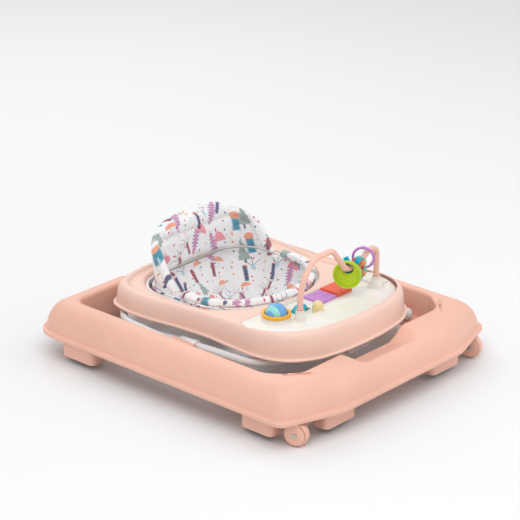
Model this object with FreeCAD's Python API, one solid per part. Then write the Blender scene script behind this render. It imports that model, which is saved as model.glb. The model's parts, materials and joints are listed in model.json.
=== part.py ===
import FreeCAD, Part
import math
import os

# A folding baby walker.  Millimetres, +Z up, origin on the floor under the centre of the base ring.
# The toy panel is at the front, -Y.  It stands here at its lowest height, the tray nested in the ring.

Vector = FreeCAD.Vector
X_AXIS = Vector(1, 0, 0)
Y_AXIS = Vector(0, 1, 0)
Z_AXIS = Vector(0, 0, 1)

# ---------------------------------------------------------------- driving dimensions
BASE_HALF_WIDTH = 314.0
BASE_HALF_LENGTH = 360.0
FLANGE_BOTTOM = 49.0
FLANGE_TOP = 57.0
FLANGE_LEDGE = 8.0
CREST_HEIGHT = 116.0
CREST_INSET = 58.0
WALL = 3.0
OPENING_HALF_WIDTH = 252.0
OPENING_REAR = 293.0
OPENING_FRONT = -272.0

STOPPER_BOTTOM = 14.0
PAD_THICKNESS = 4.0
WHEEL_RADIUS = 24.0
WHEEL_WIDTH = 17.0
CASTER_X = 268.0
CASTER_Y = -312.0
CASTER_TRAIL = 4.0
CROWN_BOTTOM = 49.6
CROWN_THICKNESS = 3.6
SOCKET_BOTTOM = 56.0
REAR_WHEEL_X = 215.0
REAR_WHEEL_Y = 324.0

TUBE_RADIUS = 8.0
TUBE_WALL = 1.2
FRONT_TUBE_X = 202.0
REAR_TUBE_X = 222.0
TUBE_BEND = 70.0
PIVOT_Y = 226.0
PIVOT_Z = 72.0
CROSSBAR_Z = 96.0
LINK_RUN = 410.0
PIN_RADIUS = 4.0
RUNNING_CLEARANCE = 0.05

TRAY_LIP = 108.0
TRAY_RIM = 164.0
TRAY_HALF_WIDTH = 216.0
SEAT_CENTRE_Y = 62.0
SEAT_HALF_WIDTH = 165.0
SEAT_HALF_LENGTH = 141.0
SEAT_REAR = 226.0
SEAT_CORNER = 80.0
SEAT_FLOOR = 58.0
BACK_BOTTOM = 147.0
BACK_TOP = 283.0
BACK_REAR = 212.0
BACK_LEAN = 8.0

PANEL_TOP = 155.0
PANEL_BOTTOM = 141.0
CHANNEL_FLOOR = 150.0
BALL = Vector(-116.0, -130.0, 164.0)
BALL_RADIUS = 22.0
ARCH_Y = -171.0
ARCH_FOOT_Z = 172.0
ARCH_LEFT_X = -93.0
ARCH_RIGHT_X = 139.0
ARCH_RADIUS = 6.0
BEAD_YAW = 30.0

SIDES = (("left", -1), ("right", 1))


# ---------------------------------------------------------------- general shapes
def box(x0, x1, y0, y1, z0, z1):
    """A box between two corners, given low and high along each axis."""
    return Part.makeBox(x1 - x0, y1 - y0, z1 - z0, Vector(x0, y0, z0))


def mirrored(shape):
    """The same shape on the other side of the walker's middle plane."""
    return shape.mirror(Vector(0, 0, 0), X_AXIS)


def both_sides(shape):
    """A shape and its mirror image, as two separate solids."""
    return Part.makeCompound([shape, mirrored(shape)])


def rod(start, end, radius):
    """A round bar between two points."""
    run = end - start
    return Part.makeCylinder(radius, run.Length, start, run)


def ring_bar(start, end, outer, inner):
    """A round sleeve between two points."""
    run = end - start
    length = run.Length
    return Part.makeCylinder(outer, length, start, run).cut(Part.makeCylinder(inner, length, start, run))


def rounded_outline(corners, z):
    """A closed flat wire at height z through corners (x, y, radius), each rounded by its radius."""
    count = len(corners)
    cuts = []
    for index in range(count):
        before = Vector(*corners[index - 1][:2], z)
        here = Vector(*corners[index][:2], z)
        after = Vector(*corners[(index + 1) % count][:2], z)
        radius = corners[index][2]
        to_before = (before - here).normalize()
        to_after = (after - here).normalize()
        half_angle = to_before.getAngle(to_after) / 2
        setback = radius / math.tan(half_angle)
        bisector = (to_before + to_after).normalize()
        middle = here + bisector * (radius / math.sin(half_angle) - radius)
        cuts.append((here + to_before * setback, middle, here + to_after * setback))
    edges = []
    for index in range(count):
        start, middle, end = cuts[index]
        edges.append(Part.Arc(start, middle, end).toShape())
        edges.append(Part.LineSegment(end, cuts[(index + 1) % count][0]).toShape())
    return Part.Wire(edges)


def stack(outlines):
    """A solid skinned with straight walls through outlines stacked from bottom to top."""
    return Part.makeLoft(outlines, True, True)


def prism(wire, height):
    """A wire's area raised straight up."""
    return Part.Face(wire).extrude(Vector(0, 0, height))


def tube_along(points, bends, outer, inner):
    """A round tube along straight runs joined by tangent arcs; bends holds each inner point's radius."""
    edges = []
    start = points[0]
    for index in range(1, len(points) - 1):
        here = points[index]
        back = (points[index - 1] - here).normalize()
        ahead = (points[index + 1] - here).normalize()
        half_angle = back.getAngle(ahead) / 2
        setback = bends[index - 1] / math.tan(half_angle)
        bisector = (back + ahead).normalize()
        middle = here + bisector * (bends[index - 1] / math.sin(half_angle) - bends[index - 1])
        entry = here + back * setback
        leave = here + ahead * setback
        if (entry - start).Length > 1e-6:
            edges.append(Part.LineSegment(start, entry).toShape())
        edges.append(Part.Arc(entry, middle, leave).toShape())
        start = leave
    edges.append(Part.LineSegment(start, points[-1]).toShape())
    path = Part.Wire(edges)
    direction = points[1] - points[0]
    profile = Part.Wire([Part.Circle(points[0], direction, outer).toShape()])
    solid = path.makePipeShell([profile], True, False)
    if inner > 0:
        bore = Part.Wire([Part.Circle(points[0], direction, inner).toShape()])
        solid = solid.cut(path.makePipeShell([bore], True, False))
    return solid


# ---------------------------------------------------------------- base ring
def base_outline(inset, z):
    """The ring's outer edge moved inwards: square at the back, its front corners cut off at a slant."""
    half_width = BASE_HALF_WIDTH - inset
    rear = BASE_HALF_LENGTH - inset
    front = -BASE_HALF_LENGTH + inset
    side_cut_y = -316.0 + 0.72 * inset
    front_cut_x = 182.5 - 0.16 * inset
    rear_radius = max(57.0 - inset, 14.0)
    right = [(front_cut_x, front, 22.0), (half_width, side_cut_y, 26.0), (half_width, rear, rear_radius)]
    left = [(-x, y, radius) for x, y, radius in reversed(right)]
    return rounded_outline(right + left, z)


def opening_outline(grow, z):
    """The hole in the middle of the ring, with tight rear corners and wide front ones."""
    half_width = OPENING_HALF_WIDTH + grow
    right = [
        (half_width - 40, OPENING_FRONT - grow, 50.0 + grow),
        (half_width, OPENING_FRONT + 50, 40.0 + grow),
        (half_width, OPENING_REAR + grow, 26.0 + grow),
    ]
    left = [(-x, y, radius) for x, y, radius in reversed(right)]
    return rounded_outline(right + left, z)


def base_levels(skin):
    """Heights and insets up the ring's quarter-oval flank, moved inwards by the thickness of a skin."""
    levels = [(FLANGE_BOTTOM, skin), (FLANGE_TOP - skin, skin), (FLANGE_TOP - skin + 0.5, FLANGE_LEDGE + skin)]
    rise = CREST_HEIGHT - FLANGE_TOP
    run = CREST_INSET - FLANGE_LEDGE
    for step in range(1, 8):
        angle = math.radians(90.0 * step / 7)
        height = FLANGE_TOP - skin + 0.5 + (rise - 0.5) * math.sin(angle)
        inset = FLANGE_LEDGE + skin + (run - skin) * (1 - math.cos(angle))
        levels.append((height, inset))
    return levels


def scallop(grow):
    """The dished hand recess in the middle of the front segment, its floor falling towards the opening."""
    outlines = []
    for z, half_width, front in ((88.0, 52.0, -286.0), (102.0, 76.0, -318.0), (CREST_HEIGHT + 4, 96.0, -346.0)):
        corner = half_width + grow
        reach = front - grow
        outlines.append(rounded_outline([
            (corner * 0.62, reach, 16.0),
            (corner, reach + 26, 12.0),
            (corner + 4, OPENING_FRONT + 40, 2.0),
            (-corner - 4, OPENING_FRONT + 40, 2.0),
            (-corner, reach + 26, 12.0),
            (-corner * 0.62, reach, 16.0),
        ], z - grow * 0.6))
    return stack(outlines)


BASE_OUTER = stack([base_outline(inset, z) for z, inset in base_levels(0.0)])
BASE_HOLLOW = stack([base_outline(inset, z) for z, inset in base_levels(WALL)])
BASE_HOLLOW = BASE_HOLLOW.cut(prism(opening_outline(WALL, 0), 200))
BASE_HOLLOW = BASE_HOLLOW.cut(scallop(WALL))


def base_shell():
    """The moulded ring: a skirted shell, open underneath, with a rounded inner edge at its crest."""
    shell = BASE_OUTER.cut(prism(opening_outline(0, 0), 200))
    round_over = stack([
        opening_outline(0, CREST_HEIGHT - 7),
        opening_outline(1.2, CREST_HEIGHT - 3.5),
        opening_outline(5, CREST_HEIGHT - 0.6),
        opening_outline(9, CREST_HEIGHT + 2),
    ])
    shell = shell.cut(round_over)
    shell = shell.cut(scallop(0))
    return shell.cut(BASE_HOLLOW)


def under_base(shape):
    """What of a shape stands below the flange or fits up inside the hollow ring."""
    below = shape.common(box(-400, 400, -400, 400, 0, FLANGE_BOTTOM))
    inside = shape.common(BASE_HOLLOW)
    return below.fuse(inside).removeSplitter()


def stopper(x0, x1, y0, y1):
    """One friction stop: a block with rounded ends that hangs below the flange and fills the hollow above."""
    corners = [(x0, y0, 12), (x1, y0, 12), (x1, y1, 12), (x0, y1, 12)]
    return under_base(prism(rounded_outline(corners, STOPPER_BOTTOM), 52))


SIDE_STOPS = ((264, 303, 195, 285), (264, 299, -280, -200))
END_STOPS = ((118, 206, -338, -296), (96, 176, 302, 340))


def stoppers(footprints):
    """A mirrored pair of stops for each footprint."""
    shapes = []
    for footprint in footprints:
        block = stopper(*footprint)
        shapes += [block, mirrored(block)]
    return Part.makeCompound(shapes)


def brake_pads():
    """The rubber strips under the stops, which grip if the walker drops over an edge."""
    pads = []
    margin = 7.0
    for x0, x1, y0, y1 in SIDE_STOPS + END_STOPS:
        corners = [(x0 + margin, y0 + margin, 6), (x1 - margin, y0 + margin, 6),
                   (x1 - margin, y1 - margin, 6), (x0 + margin, y1 - margin, 6)]
        pad = prism(rounded_outline(corners, STOPPER_BOTTOM - PAD_THICKNESS), PAD_THICKNESS)
        pads += [pad, mirrored(pad)]
    return Part.makeCompound(pads)


def pivot_brackets():
    """The ledges inside the rear of the ring that carry the inner tubes' pivot pins."""
    ledge = box(234, OPENING_HALF_WIDTH, 206, 288, 58, 98)
    lug = box(212, 236, 208, 244, 58, 84)
    bracket = ledge.fuse(lug)
    bore = rod(Vector(200, PIVOT_Y, PIVOT_Z), Vector(OPENING_HALF_WIDTH, PIVOT_Y, PIVOT_Z), PIN_RADIUS)
    bracket = bracket.common(prism(opening_outline(0, 0), 200))
    return both_sides(bracket.cut(bore))


def pivot_pins():
    """Steel pins that the inner tubes turn on, pressed into the rear ledges."""
    return both_sides(rod(Vector(191, PIVOT_Y, PIVOT_Z), Vector(248, PIVOT_Y, PIVOT_Z), PIN_RADIUS))


def slide_ledges():
    """The front ledges that the outer tubes' shoes slide back along as the tray rises."""
    floor = box(208, OPENING_HALF_WIDTH, -200, -100, 50, 57)
    return both_sides(floor)


def caster_sockets():
    """The moulded bosses that hold the caster stems."""
    boss = Part.makeCylinder(11, 60, Vector(CASTER_X, CASTER_Y, SOCKET_BOTTOM)).common(BASE_HOLLOW)
    stem_hole = Part.makeCylinder(4 + RUNNING_CLEARANCE, 32, Vector(CASTER_X, CASTER_Y, SOCKET_BOTTOM - 1))
    return both_sides(boss.cut(stem_hole))


def rear_wheel_brackets():
    """Pairs of cheeks under the rear of the ring, one each side of a fixed wheel."""
    cheeks = []
    for low, high in ((REAR_WHEEL_X - 14, REAR_WHEEL_X - 10), (REAR_WHEEL_X + 10, REAR_WHEEL_X + 14)):
        cheek = box(low, high, REAR_WHEEL_Y - 11, REAR_WHEEL_Y + 11, 16, CREST_HEIGHT)
        axle_hole = rod(Vector(low - 1, REAR_WHEEL_Y, WHEEL_RADIUS), Vector(high + 1, REAR_WHEEL_Y, WHEEL_RADIUS), 3)
        cheek = under_base(cheek).cut(axle_hole)
        cheeks += [cheek, mirrored(cheek)]
    return Part.makeCompound(cheeks)


def rear_axles():
    """Steel pins through the rear wheels and their cheeks."""
    start = Vector(REAR_WHEEL_X - 16, REAR_WHEEL_Y, WHEEL_RADIUS)
    return both_sides(rod(start, start + Vector(32, 0, 0), 3))


def base_screws():
    """The screws that hold the stops and the rear ledges to the ring, heads down."""
    screws = []
    for x0, x1, y0, y1 in SIDE_STOPS + END_STOPS:
        place = Vector((x0 + x1) / 2, (y0 + y1) / 2, STOPPER_BOTTOM + 3)
        head = Part.makeCylinder(3.5, 2.2, place)
        shank = Part.makeCylinder(1.8, 24, place)
        screw = head.fuse(shank)
        screws += [screw, mirrored(screw)]
    return Part.makeCompound(screws)


def screw_holes():
    """The clearance that the screws take up inside the stops, and the recesses under their heads."""
    return Part.makeCompound([
        Part.makeCylinder(3.5, 5.2, Vector((x0 + x1) / 2, (y0 + y1) / 2, STOPPER_BOTTOM)).fuse(
            Part.makeCylinder(1.8, 27, Vector((x0 + x1) / 2, (y0 + y1) / 2, STOPPER_BOTTOM)))
        for x0, x1, y0, y1 in SIDE_STOPS + END_STOPS])


# ---------------------------------------------------------------- wheels
AXLE_DIRECTION = Vector(-0.945, -0.327, 0).normalize()
LEAD_DIRECTION = Vector(0.327, -0.945, 0).normalize()


def wheel(centre, axis):
    """A moulded wheel with a rounded tread and a dished hub, bored for a 6 mm axle."""
    half = WHEEL_WIDTH / 2
    profile = Part.makePolygon([
        Vector(3 + RUNNING_CLEARANCE, 0, -half),
        Vector(9, 0, -half),
        Vector(12, 0, -half + 3),
        Vector(18, 0, -half + 3),
        Vector(20, 0, -half),
        Vector(WHEEL_RADIUS - 2, 0, -half),
        Vector(WHEEL_RADIUS, 0, -half + 3),
        Vector(WHEEL_RADIUS, 0, half - 3),
        Vector(WHEEL_RADIUS - 2, 0, half),
        Vector(20, 0, half),
        Vector(18, 0, half - 3),
        Vector(12, 0, half - 3),
        Vector(9, 0, half),
        Vector(3 + RUNNING_CLEARANCE, 0, half),
        Vector(3 + RUNNING_CLEARANCE, 0, -half),
    ])
    solid = Part.Face(profile).revolve(Vector(0, 0, 0), Z_AXIS, 360)
    solid.Placement = FreeCAD.Placement(centre, FreeCAD.Rotation(Z_AXIS, axis))
    return solid


def caster_centre(side):
    """The middle of a caster's wheel, which lies a little off its stem."""
    return Vector(side * CASTER_X, CASTER_Y, WHEEL_RADIUS) + LEAD_DIRECTION * CASTER_TRAIL


def caster_fork(side):
    """The housing: a crown under the stem, an arm down each side, and a round cover on each wheel face."""
    centre = caster_centre(side)
    face = WHEEL_WIDTH / 2 + 0.8
    stem_foot = Vector(side * CASTER_X, CASTER_Y, 0)
    crown = Part.makeCylinder(13.0, CROWN_THICKNESS, stem_foot + Vector(0, 0, CROWN_BOTTOM))
    pieces = []
    for sign in (-1, 1):
        near = centre + AXLE_DIRECTION * (sign * face)
        pieces.append(rod(near, near + AXLE_DIRECTION * (sign * 3.0), 20.0))
        arm = box(min(0, 3 * sign), max(0, 3 * sign), -8, 8, 0, CROWN_BOTTOM + CROWN_THICKNESS - WHEEL_RADIUS)
        arm.Placement = FreeCAD.Placement(near, FreeCAD.Rotation(X_AXIS, AXLE_DIRECTION))
        pieces.append(arm)
    fork = crown.fuse(pieces)
    wheel_room = rod(centre - AXLE_DIRECTION * face, centre + AXLE_DIRECTION * face, WHEEL_RADIUS + 1.5)
    axle_bore = rod(centre - AXLE_DIRECTION * 20, centre + AXLE_DIRECTION * 20, 3)
    stem_bore = Part.makeCylinder(4, 30, stem_foot + Vector(0, 0, CROWN_BOTTOM))
    shell_room = ring_bar(stem_foot + Vector(0, 0, FLANGE_BOTTOM - 0.6), stem_foot + Vector(0, 0, 60), 40, 14.4)
    return fork.cut(wheel_room).cut(axle_bore).cut(stem_bore).cut(shell_room).removeSplitter()


def caster_stem(side):
    """The steel pin that the fork swivels on, pressed into the crown."""
    return Part.makeCylinder(4, 22, Vector(side * CASTER_X, CASTER_Y, CROWN_BOTTOM + 0.2))


def caster_axle(side):
    """The riveted steel pin through the covers and the wheel."""
    centre = caster_centre(side)
    tail = rod(centre - AXLE_DIRECTION * 13.2, centre + AXLE_DIRECTION * 13.2, 3)
    head = rod(centre + AXLE_DIRECTION * 12.4, centre + AXLE_DIRECTION * 14.2, 4.6)
    return tail.fuse(head).removeSplitter()


# ---------------------------------------------------------------- folding frame
RISE = CROSSBAR_Z - PIVOT_Z
FAR_Y = PIVOT_Y - LINK_RUN
HUB = Vector(0, PIVOT_Y - LINK_RUN / 2, PIVOT_Z + RISE / 2)


def lift_tube(half_width, crossbar_y, crossbar_z, end_y, end_z):
    """A U of round tube: two long legs and one crossbar, with wide bends between them."""
    points = [
        Vector(-half_width, end_y, end_z),
        Vector(-half_width, crossbar_y, crossbar_z),
        Vector(half_width, crossbar_y, crossbar_z),
        Vector(half_width, end_y, end_z),
    ]
    return tube_along(points, [TUBE_BEND, TUBE_BEND], TUBE_RADIUS, TUBE_RADIUS - TUBE_WALL)


def cross_bore(half_width, y, z, radius):
    """A hole across one leg of each side, for a pivot pin."""
    return both_sides(rod(Vector(half_width - 12, y, z), Vector(half_width + 12, y, z), radius))


def front_lift_tube():
    """The inner U: it turns on the rear ledges and its crossbar carries the front of the tray."""
    tube = lift_tube(FRONT_TUBE_X, FAR_Y, CROSSBAR_Z, PIVOT_Y + 10, PIVOT_Z - 10 * RISE / LINK_RUN)
    tube = tube.cut(cross_bore(FRONT_TUBE_X, PIVOT_Y, PIVOT_Z, PIN_RADIUS + RUNNING_CLEARANCE))
    return tube.cut(cross_bore(FRONT_TUBE_X, HUB.y, HUB.z, PIN_RADIUS))


def rear_lift_tube():
    """The outer U: its crossbar hinges under the back of the tray and its legs slide at the front."""
    tube = lift_tube(REAR_TUBE_X, PIVOT_Y, CROSSBAR_Z, FAR_Y, PIVOT_Z)
    return tube.cut(cross_bore(REAR_TUBE_X, HUB.y, HUB.z, PIN_RADIUS + RUNNING_CLEARANCE))


def leg_direction(sign):
    """The unit direction of a leg as it runs forwards; sign is +1 where it climbs to the front."""
    return Vector(0, -LINK_RUN, sign * RISE).normalize()


def end_plugs():
    """Plastic plugs with domed flanges that close the inner tube's rear ends."""
    ahead = leg_direction(1)
    end = Vector(FRONT_TUBE_X, PIVOT_Y + 10, PIVOT_Z - 10 * RISE / LINK_RUN)
    flange = rod(end - ahead * 3.0, end, TUBE_RADIUS)
    insert = rod(end, end + ahead * 5.5, TUBE_RADIUS - TUBE_WALL)
    return both_sides(flange.fuse(insert).removeSplitter())


def slide_shoes():
    """The tapered shoes on the outer tube's front ends, which slide along the ring's front ledges."""
    ahead = leg_direction(-1)
    end = Vector(REAR_TUBE_X, FAR_Y, PIVOT_Z)
    sleeve = Part.makeCone(TUBE_RADIUS + 1.5, TUBE_RADIUS + 4.5, 34, end - ahead * 32, ahead)
    nose = Part.makeSphere(TUBE_RADIUS + 4.4, end + ahead * 2)
    nose = nose.common(rod(end + ahead * 2, end + ahead * 20, 30))
    shoe = sleeve.fuse(nose).cut(rod(end - ahead * 40, end, TUBE_RADIUS))
    return both_sides(shoe.removeSplitter())


def hub_sleeve(half_width, radius, length, direction):
    """A moulded sleeve clamped round a leg where the two tubes cross."""
    middle = Vector(half_width, HUB.y, HUB.z)
    sleeve = ring_bar(middle - direction * (length / 2), middle + direction * (length / 2), radius, TUBE_RADIUS)
    return sleeve


HUB_GAP_X = (FRONT_TUBE_X + REAR_TUBE_X) / 2


def outer_hubs():
    """The sleeves at the crossing on the outer tube, trimmed flat where they face the inner ones."""
    sleeve = hub_sleeve(REAR_TUBE_X, 13.0, 56, leg_direction(-1))
    sleeve = sleeve.common(box(HUB_GAP_X + 0.5, 260, -60, 100, 0, 200))
    return both_sides(sleeve.cut(rod(Vector(200, HUB.y, HUB.z), Vector(250, HUB.y, HUB.z),
                                     PIN_RADIUS + RUNNING_CLEARANCE)))


def inner_hubs():
    """The sleeves at the crossing on the inner tube."""
    sleeve = hub_sleeve(FRONT_TUBE_X, 11.5, 44, leg_direction(1))
    sleeve = sleeve.common(box(160, HUB_GAP_X - 0.5, -60, 100, 0, 200))
    return both_sides(sleeve.cut(rod(Vector(180, HUB.y, HUB.z), Vector(250, HUB.y, HUB.z), PIN_RADIUS)))


def hub_pins():
    """Steel rivets through the crossing, pressed in the inner tube and running in the outer one."""
    pin = rod(Vector(188, HUB.y, HUB.z), Vector(237, HUB.y, HUB.z), PIN_RADIUS)
    head = rod(Vector(235.4, HUB.y, HUB.z), Vector(237.4, HUB.y, HUB.z), 7)
    return both_sides(pin.fuse(head).removeSplitter())


# ---------------------------------------------------------------- tray
def tray_outline(grow, z):
    """The tray's plan: waisted sides, wide rounded front corners and a fuller back."""
    half_points = [
        (0, -268), (72, -264), (132, -251), (181, -216), (203, -160), (203, -95), (199, -18), (205, 60),
        (215, 130), (215, 190), (197, 240), (140, 262), (70, 267),
    ]
    right = [Vector(x, y, z) for x, y in half_points]
    left = [Vector(-x, y, z) for x, y in half_points[:0:-1]]
    points = right + [Vector(0, 268, z)] + left
    scale_x = 1 + grow / TRAY_HALF_WIDTH
    scale_y = 1 + grow / 268.0
    points = [Vector(point.x * scale_x, point.y * scale_y, z) for point in points]
    curve = Part.BSplineCurve()
    curve.interpolate(Points=points, PeriodicFlag=True)
    return Part.Wire([curve.toShape()])


def below_rim(drop):
    """Everything under the tray's rim line, which dips at the sides, lowered by drop."""
    rim = Part.BSplineCurve()
    rim.interpolate([Vector(-260, y, z - drop) for y, z in (
        (-290, TRAY_RIM + 1), (-200, TRAY_RIM), (-100, 159), (20, 152), (140, 152), (230, 155), (290, 157))])
    ends = [Vector(-260, 290, 157 - drop), Vector(-260, 290, 60), Vector(-260, -290, 60),
            Vector(-260, -290, TRAY_RIM + 1 - drop)]
    sides = [Part.LineSegment(ends[index], ends[index + 1]).toShape() for index in range(3)]
    profile = Part.Wire([rim.toShape()] + sides)
    return Part.Face(profile).extrude(Vector(520, 0, 0))


def panel_outline(grow, z):
    """The toy panel's plan: straight along the seat, bowed at the front, with rounded ends."""
    rear = -90.0 + grow
    side = 188.0 + grow
    shoulder = Vector(side - 16, rear, z)
    cheek = Vector(side - 3, -104, z)
    flank = Vector(side, -140, z)
    corner = Vector(166 + 0.9 * grow, -199 - 0.5 * grow, z)
    breast = Vector(108, -235.5 - grow, z)
    nose = Vector(0, -248 - grow, z)
    left = [Vector(-point.x, point.y, z) for point in (shoulder, cheek, flank, corner, breast)]
    edges = [
        Part.LineSegment(left[0], shoulder).toShape(),
        Part.Arc(shoulder, cheek, flank).toShape(),
        Part.Arc(flank, corner, breast).toShape(),
        Part.Arc(breast, nose, left[4]).toShape(),
        Part.Arc(left[4], left[3], left[2]).toShape(),
        Part.Arc(left[2], left[1], left[0]).toShape(),
    ]
    return Part.Wire(edges)


def seat_outline(grow, z, rear=SEAT_REAR):
    """The seat's plan: half an oval in front, straight sides, and rounded corners at the rear."""
    side = SEAT_HALF_WIDTH + grow
    back = rear + grow
    corner = SEAT_CORNER + grow
    waist = Vector(side, SEAT_CENTRE_Y, z)
    hip = Vector(side, back - corner, z)
    heel = Vector(side - corner, back, z)
    bulge = Vector(side - corner * (1 - math.sqrt(0.5)), back - corner * (1 - math.sqrt(0.5)), z)
    left = [Vector(-point.x, point.y, z) for point in (waist, hip, bulge, heel)]
    oval = Part.Ellipse(Vector(0, SEAT_CENTRE_Y, z), side, SEAT_HALF_LENGTH + grow)
    return Part.Wire([
        Part.ArcOfEllipse(oval, math.pi, 2 * math.pi).toShape(),
        Part.LineSegment(waist, hip).toShape(),
        Part.Arc(hip, bulge, heel).toShape(),
        Part.LineSegment(heel, left[3]).toShape(),
        Part.Arc(left[3], left[2], left[1]).toShape(),
        Part.LineSegment(left[1], left[0]).toShape(),
    ])


def seat_prism(grow, z0, z1):
    """An upright block on the seat's plan."""
    return prism(seat_outline(grow, z0), z1 - z0)


def tray_top():
    """The tray: a skirted shell with a raised rim, a pocket for the toy panel and the seat's hole."""
    outer = stack([tray_outline(0, TRAY_LIP), tray_outline(0, TRAY_LIP + 4)])
    outer = outer.fuse(stack([tray_outline(-4, TRAY_LIP + 4), tray_outline(-8, 140), tray_outline(-13, 170)]))
    outer = outer.common(below_rim(0))
    deck_recess = stack([tray_outline(-26, 125), tray_outline(-20, 170)]).cut(below_rim(6))
    pocket = prism(panel_outline(0.8, PANEL_BOTTOM - 4), 40)
    mouth = seat_prism(0, 100, 180)
    hollow = stack([tray_outline(-3.5, 100), tray_outline(-7.2, TRAY_LIP + 5), tray_outline(-11, 140),
                    tray_outline(-16, 170)])
    hollow = hollow.common(below_rim(9))
    hollow = hollow.cut(prism(panel_outline(4, PANEL_BOTTOM - 7), 60))
    hollow = hollow.cut(seat_prism(3, 120, 180))
    return outer.cut(deck_recess).cut(pocket).cut(mouth).cut(hollow)


def crossbar_saddles():
    """The clamps under the back of the tray that the outer tube's crossbar turns in."""
    block = box(70, 110, PIVOT_Y - 13, PIVOT_Y + 13, CROSSBAR_Z - 13, 120)
    wing = box(70, 110, SEAT_REAR + 5, PIVOT_Y + 13, 118, 144)
    bore = rod(Vector(60, PIVOT_Y, CROSSBAR_Z), Vector(120, PIVOT_Y, CROSSBAR_Z), TUBE_RADIUS + RUNNING_CLEARANCE)
    return both_sides(block.fuse(wing).removeSplitter().cut(bore))


SLOT_TRAVEL = 58.0


def adjuster_housing():
    """The height adjuster under the front of the tray, slotted for the inner tube's crossbar."""
    body = box(-55, 55, -236, -112, 82, 133.6)
    slot = box(-60, 60, FAR_Y - TUBE_RADIUS - 0.6, FAR_Y + SLOT_TRAVEL + TUBE_RADIUS,
               CROSSBAR_Z - TUBE_RADIUS - 0.6, CROSSBAR_Z + TUBE_RADIUS + 0.6)
    latch_room = box(-24, 24, -240, FAR_Y - TUBE_RADIUS - 5, 88, 104)
    return body.cut(slot).cut(latch_room)


def adjuster_latch():
    """The pull handle that frees the crossbar, sliding out at the front of the adjuster."""
    tongue = box(-23.4, 23.4, -236, FAR_Y - TUBE_RADIUS - 12, 88.6, 103.4)
    grip = box(-30, 30, -244, -237, 84, 106)
    finger = box(-22, 22, -246, -239.5, 88, 102)
    return tongue.fuse(box(-10, 10, -240, -234, 89, 103)).fuse(grip).cut(finger).removeSplitter()


# ---------------------------------------------------------------- seat
def seat_rim():
    """The hard ring that the fabric seat clips round, resting on the edge of the tray's hole."""
    return seat_prism(-0.6, 130, 142).cut(seat_prism(-6, 120, 150))


def seat_bucket():
    """The fabric seat: a deep pouch with a crotch band between two leg holes."""
    def pouch(inset, floor):
        return stack([
            seat_outline(-57 - inset, floor, SEAT_REAR + 2),
            seat_outline(-19 - inset, 100, SEAT_REAR - 14),
            seat_outline(-7 - inset, 146, SEAT_REAR - 3),
        ])
    leg_hole = Part.makeCylinder(34, 60, Vector(54, 22, 40))
    return pouch(0, SEAT_FLOOR).cut(pouch(7, SEAT_FLOOR + 7)).cut(both_sides(leg_hole))


def seat_edge_roll():
    """The padded fabric roll that covers the edge of the seat hole at the front and sides."""
    roll = stack([seat_outline(-9, 147), seat_outline(-2, 152), seat_outline(-9, 160)])
    return roll.cut(seat_prism(-25, 140, 170)).common(box(-200, 200, -120, 88, 140, 170))


def back_wall(inset, outer):
    """A wall on the seat's plan, leaning back a little, from the tray's edge to the top of the back."""
    reach = 0 if outer else 5
    grow = -7 - inset
    return stack([
        seat_outline(grow, BACK_BOTTOM - reach, BACK_REAR + 7),
        seat_outline(grow, BACK_TOP + reach, BACK_REAR + 7 + BACK_LEAN),
    ])


def back_profile(margin):
    """What the back's top edge leaves: an arch seen from the front, falling away forwards down the wings."""
    arch_radius = 215.0
    arch = Part.makeCylinder(arch_radius - margin, 400, Vector(0, -100, BACK_TOP - arch_radius), Y_AXIS)
    wing = Part.Arc(Vector(-200, 100 + margin, 140), Vector(-200, 135 + margin, 202),
                    Vector(-200, 226 + margin, 292)).toShape()
    corners = [Vector(-200, 226 + margin, 292), Vector(-200, 300 + margin, 292), Vector(-200, 300 + margin, 140),
               Vector(-200, 100 + margin, 140)]
    edges = [Part.LineSegment(corners[index], corners[index + 1]).toShape() for index in range(3)]
    slope = Part.Face(Part.Wire([wing] + edges)).extrude(Vector(400, 0, 0))
    return slope.common(arch)


def backrest_pad():
    """The tall padded back that wraps round behind the child."""
    pad = back_wall(0, True).cut(back_wall(24, False)).common(back_profile(0))
    return pad.cut(back_board_space())


def back_board_space():
    """The thin sleeve inside the pad that takes the stiffening board."""
    sleeve = back_wall(10.6, False).cut(back_wall(13.4, False)).common(back_profile(18))
    return sleeve.common(box(-200, 200, 100, 300, 154.4, 300))


def back_board():
    """The bent plastic board sewn inside the back."""
    board = back_wall(11, False).cut(back_wall(13, False)).common(back_profile(18.5))
    return board.common(box(-200, 200, 101, 300, 155, 300))


# ---------------------------------------------------------------- toy panel
FOOT_BOSSES = ((ARCH_LEFT_X, 12.0, 9.0), (ARCH_RIGHT_X, 21.0, 10.0))
BUTTON = Vector(-27.0, -160.0, CHANNEL_FLOOR)
ROCKER = Vector(-47.0, -130.0, 146.0)
ROCKER_HALF = Vector(20.0, 10.5, 13.0)
KEYS = {"purple_key": (2, 50, 156.5), "red_key": (52, 96, 160.0)}
KEY_REAR = -98.0
KEY_FRONT = -144.0
PIVOT_ROD = 2.0
SPEAKER = Vector(123.0, -205.0, PANEL_BOTTOM + 0.2)


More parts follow.
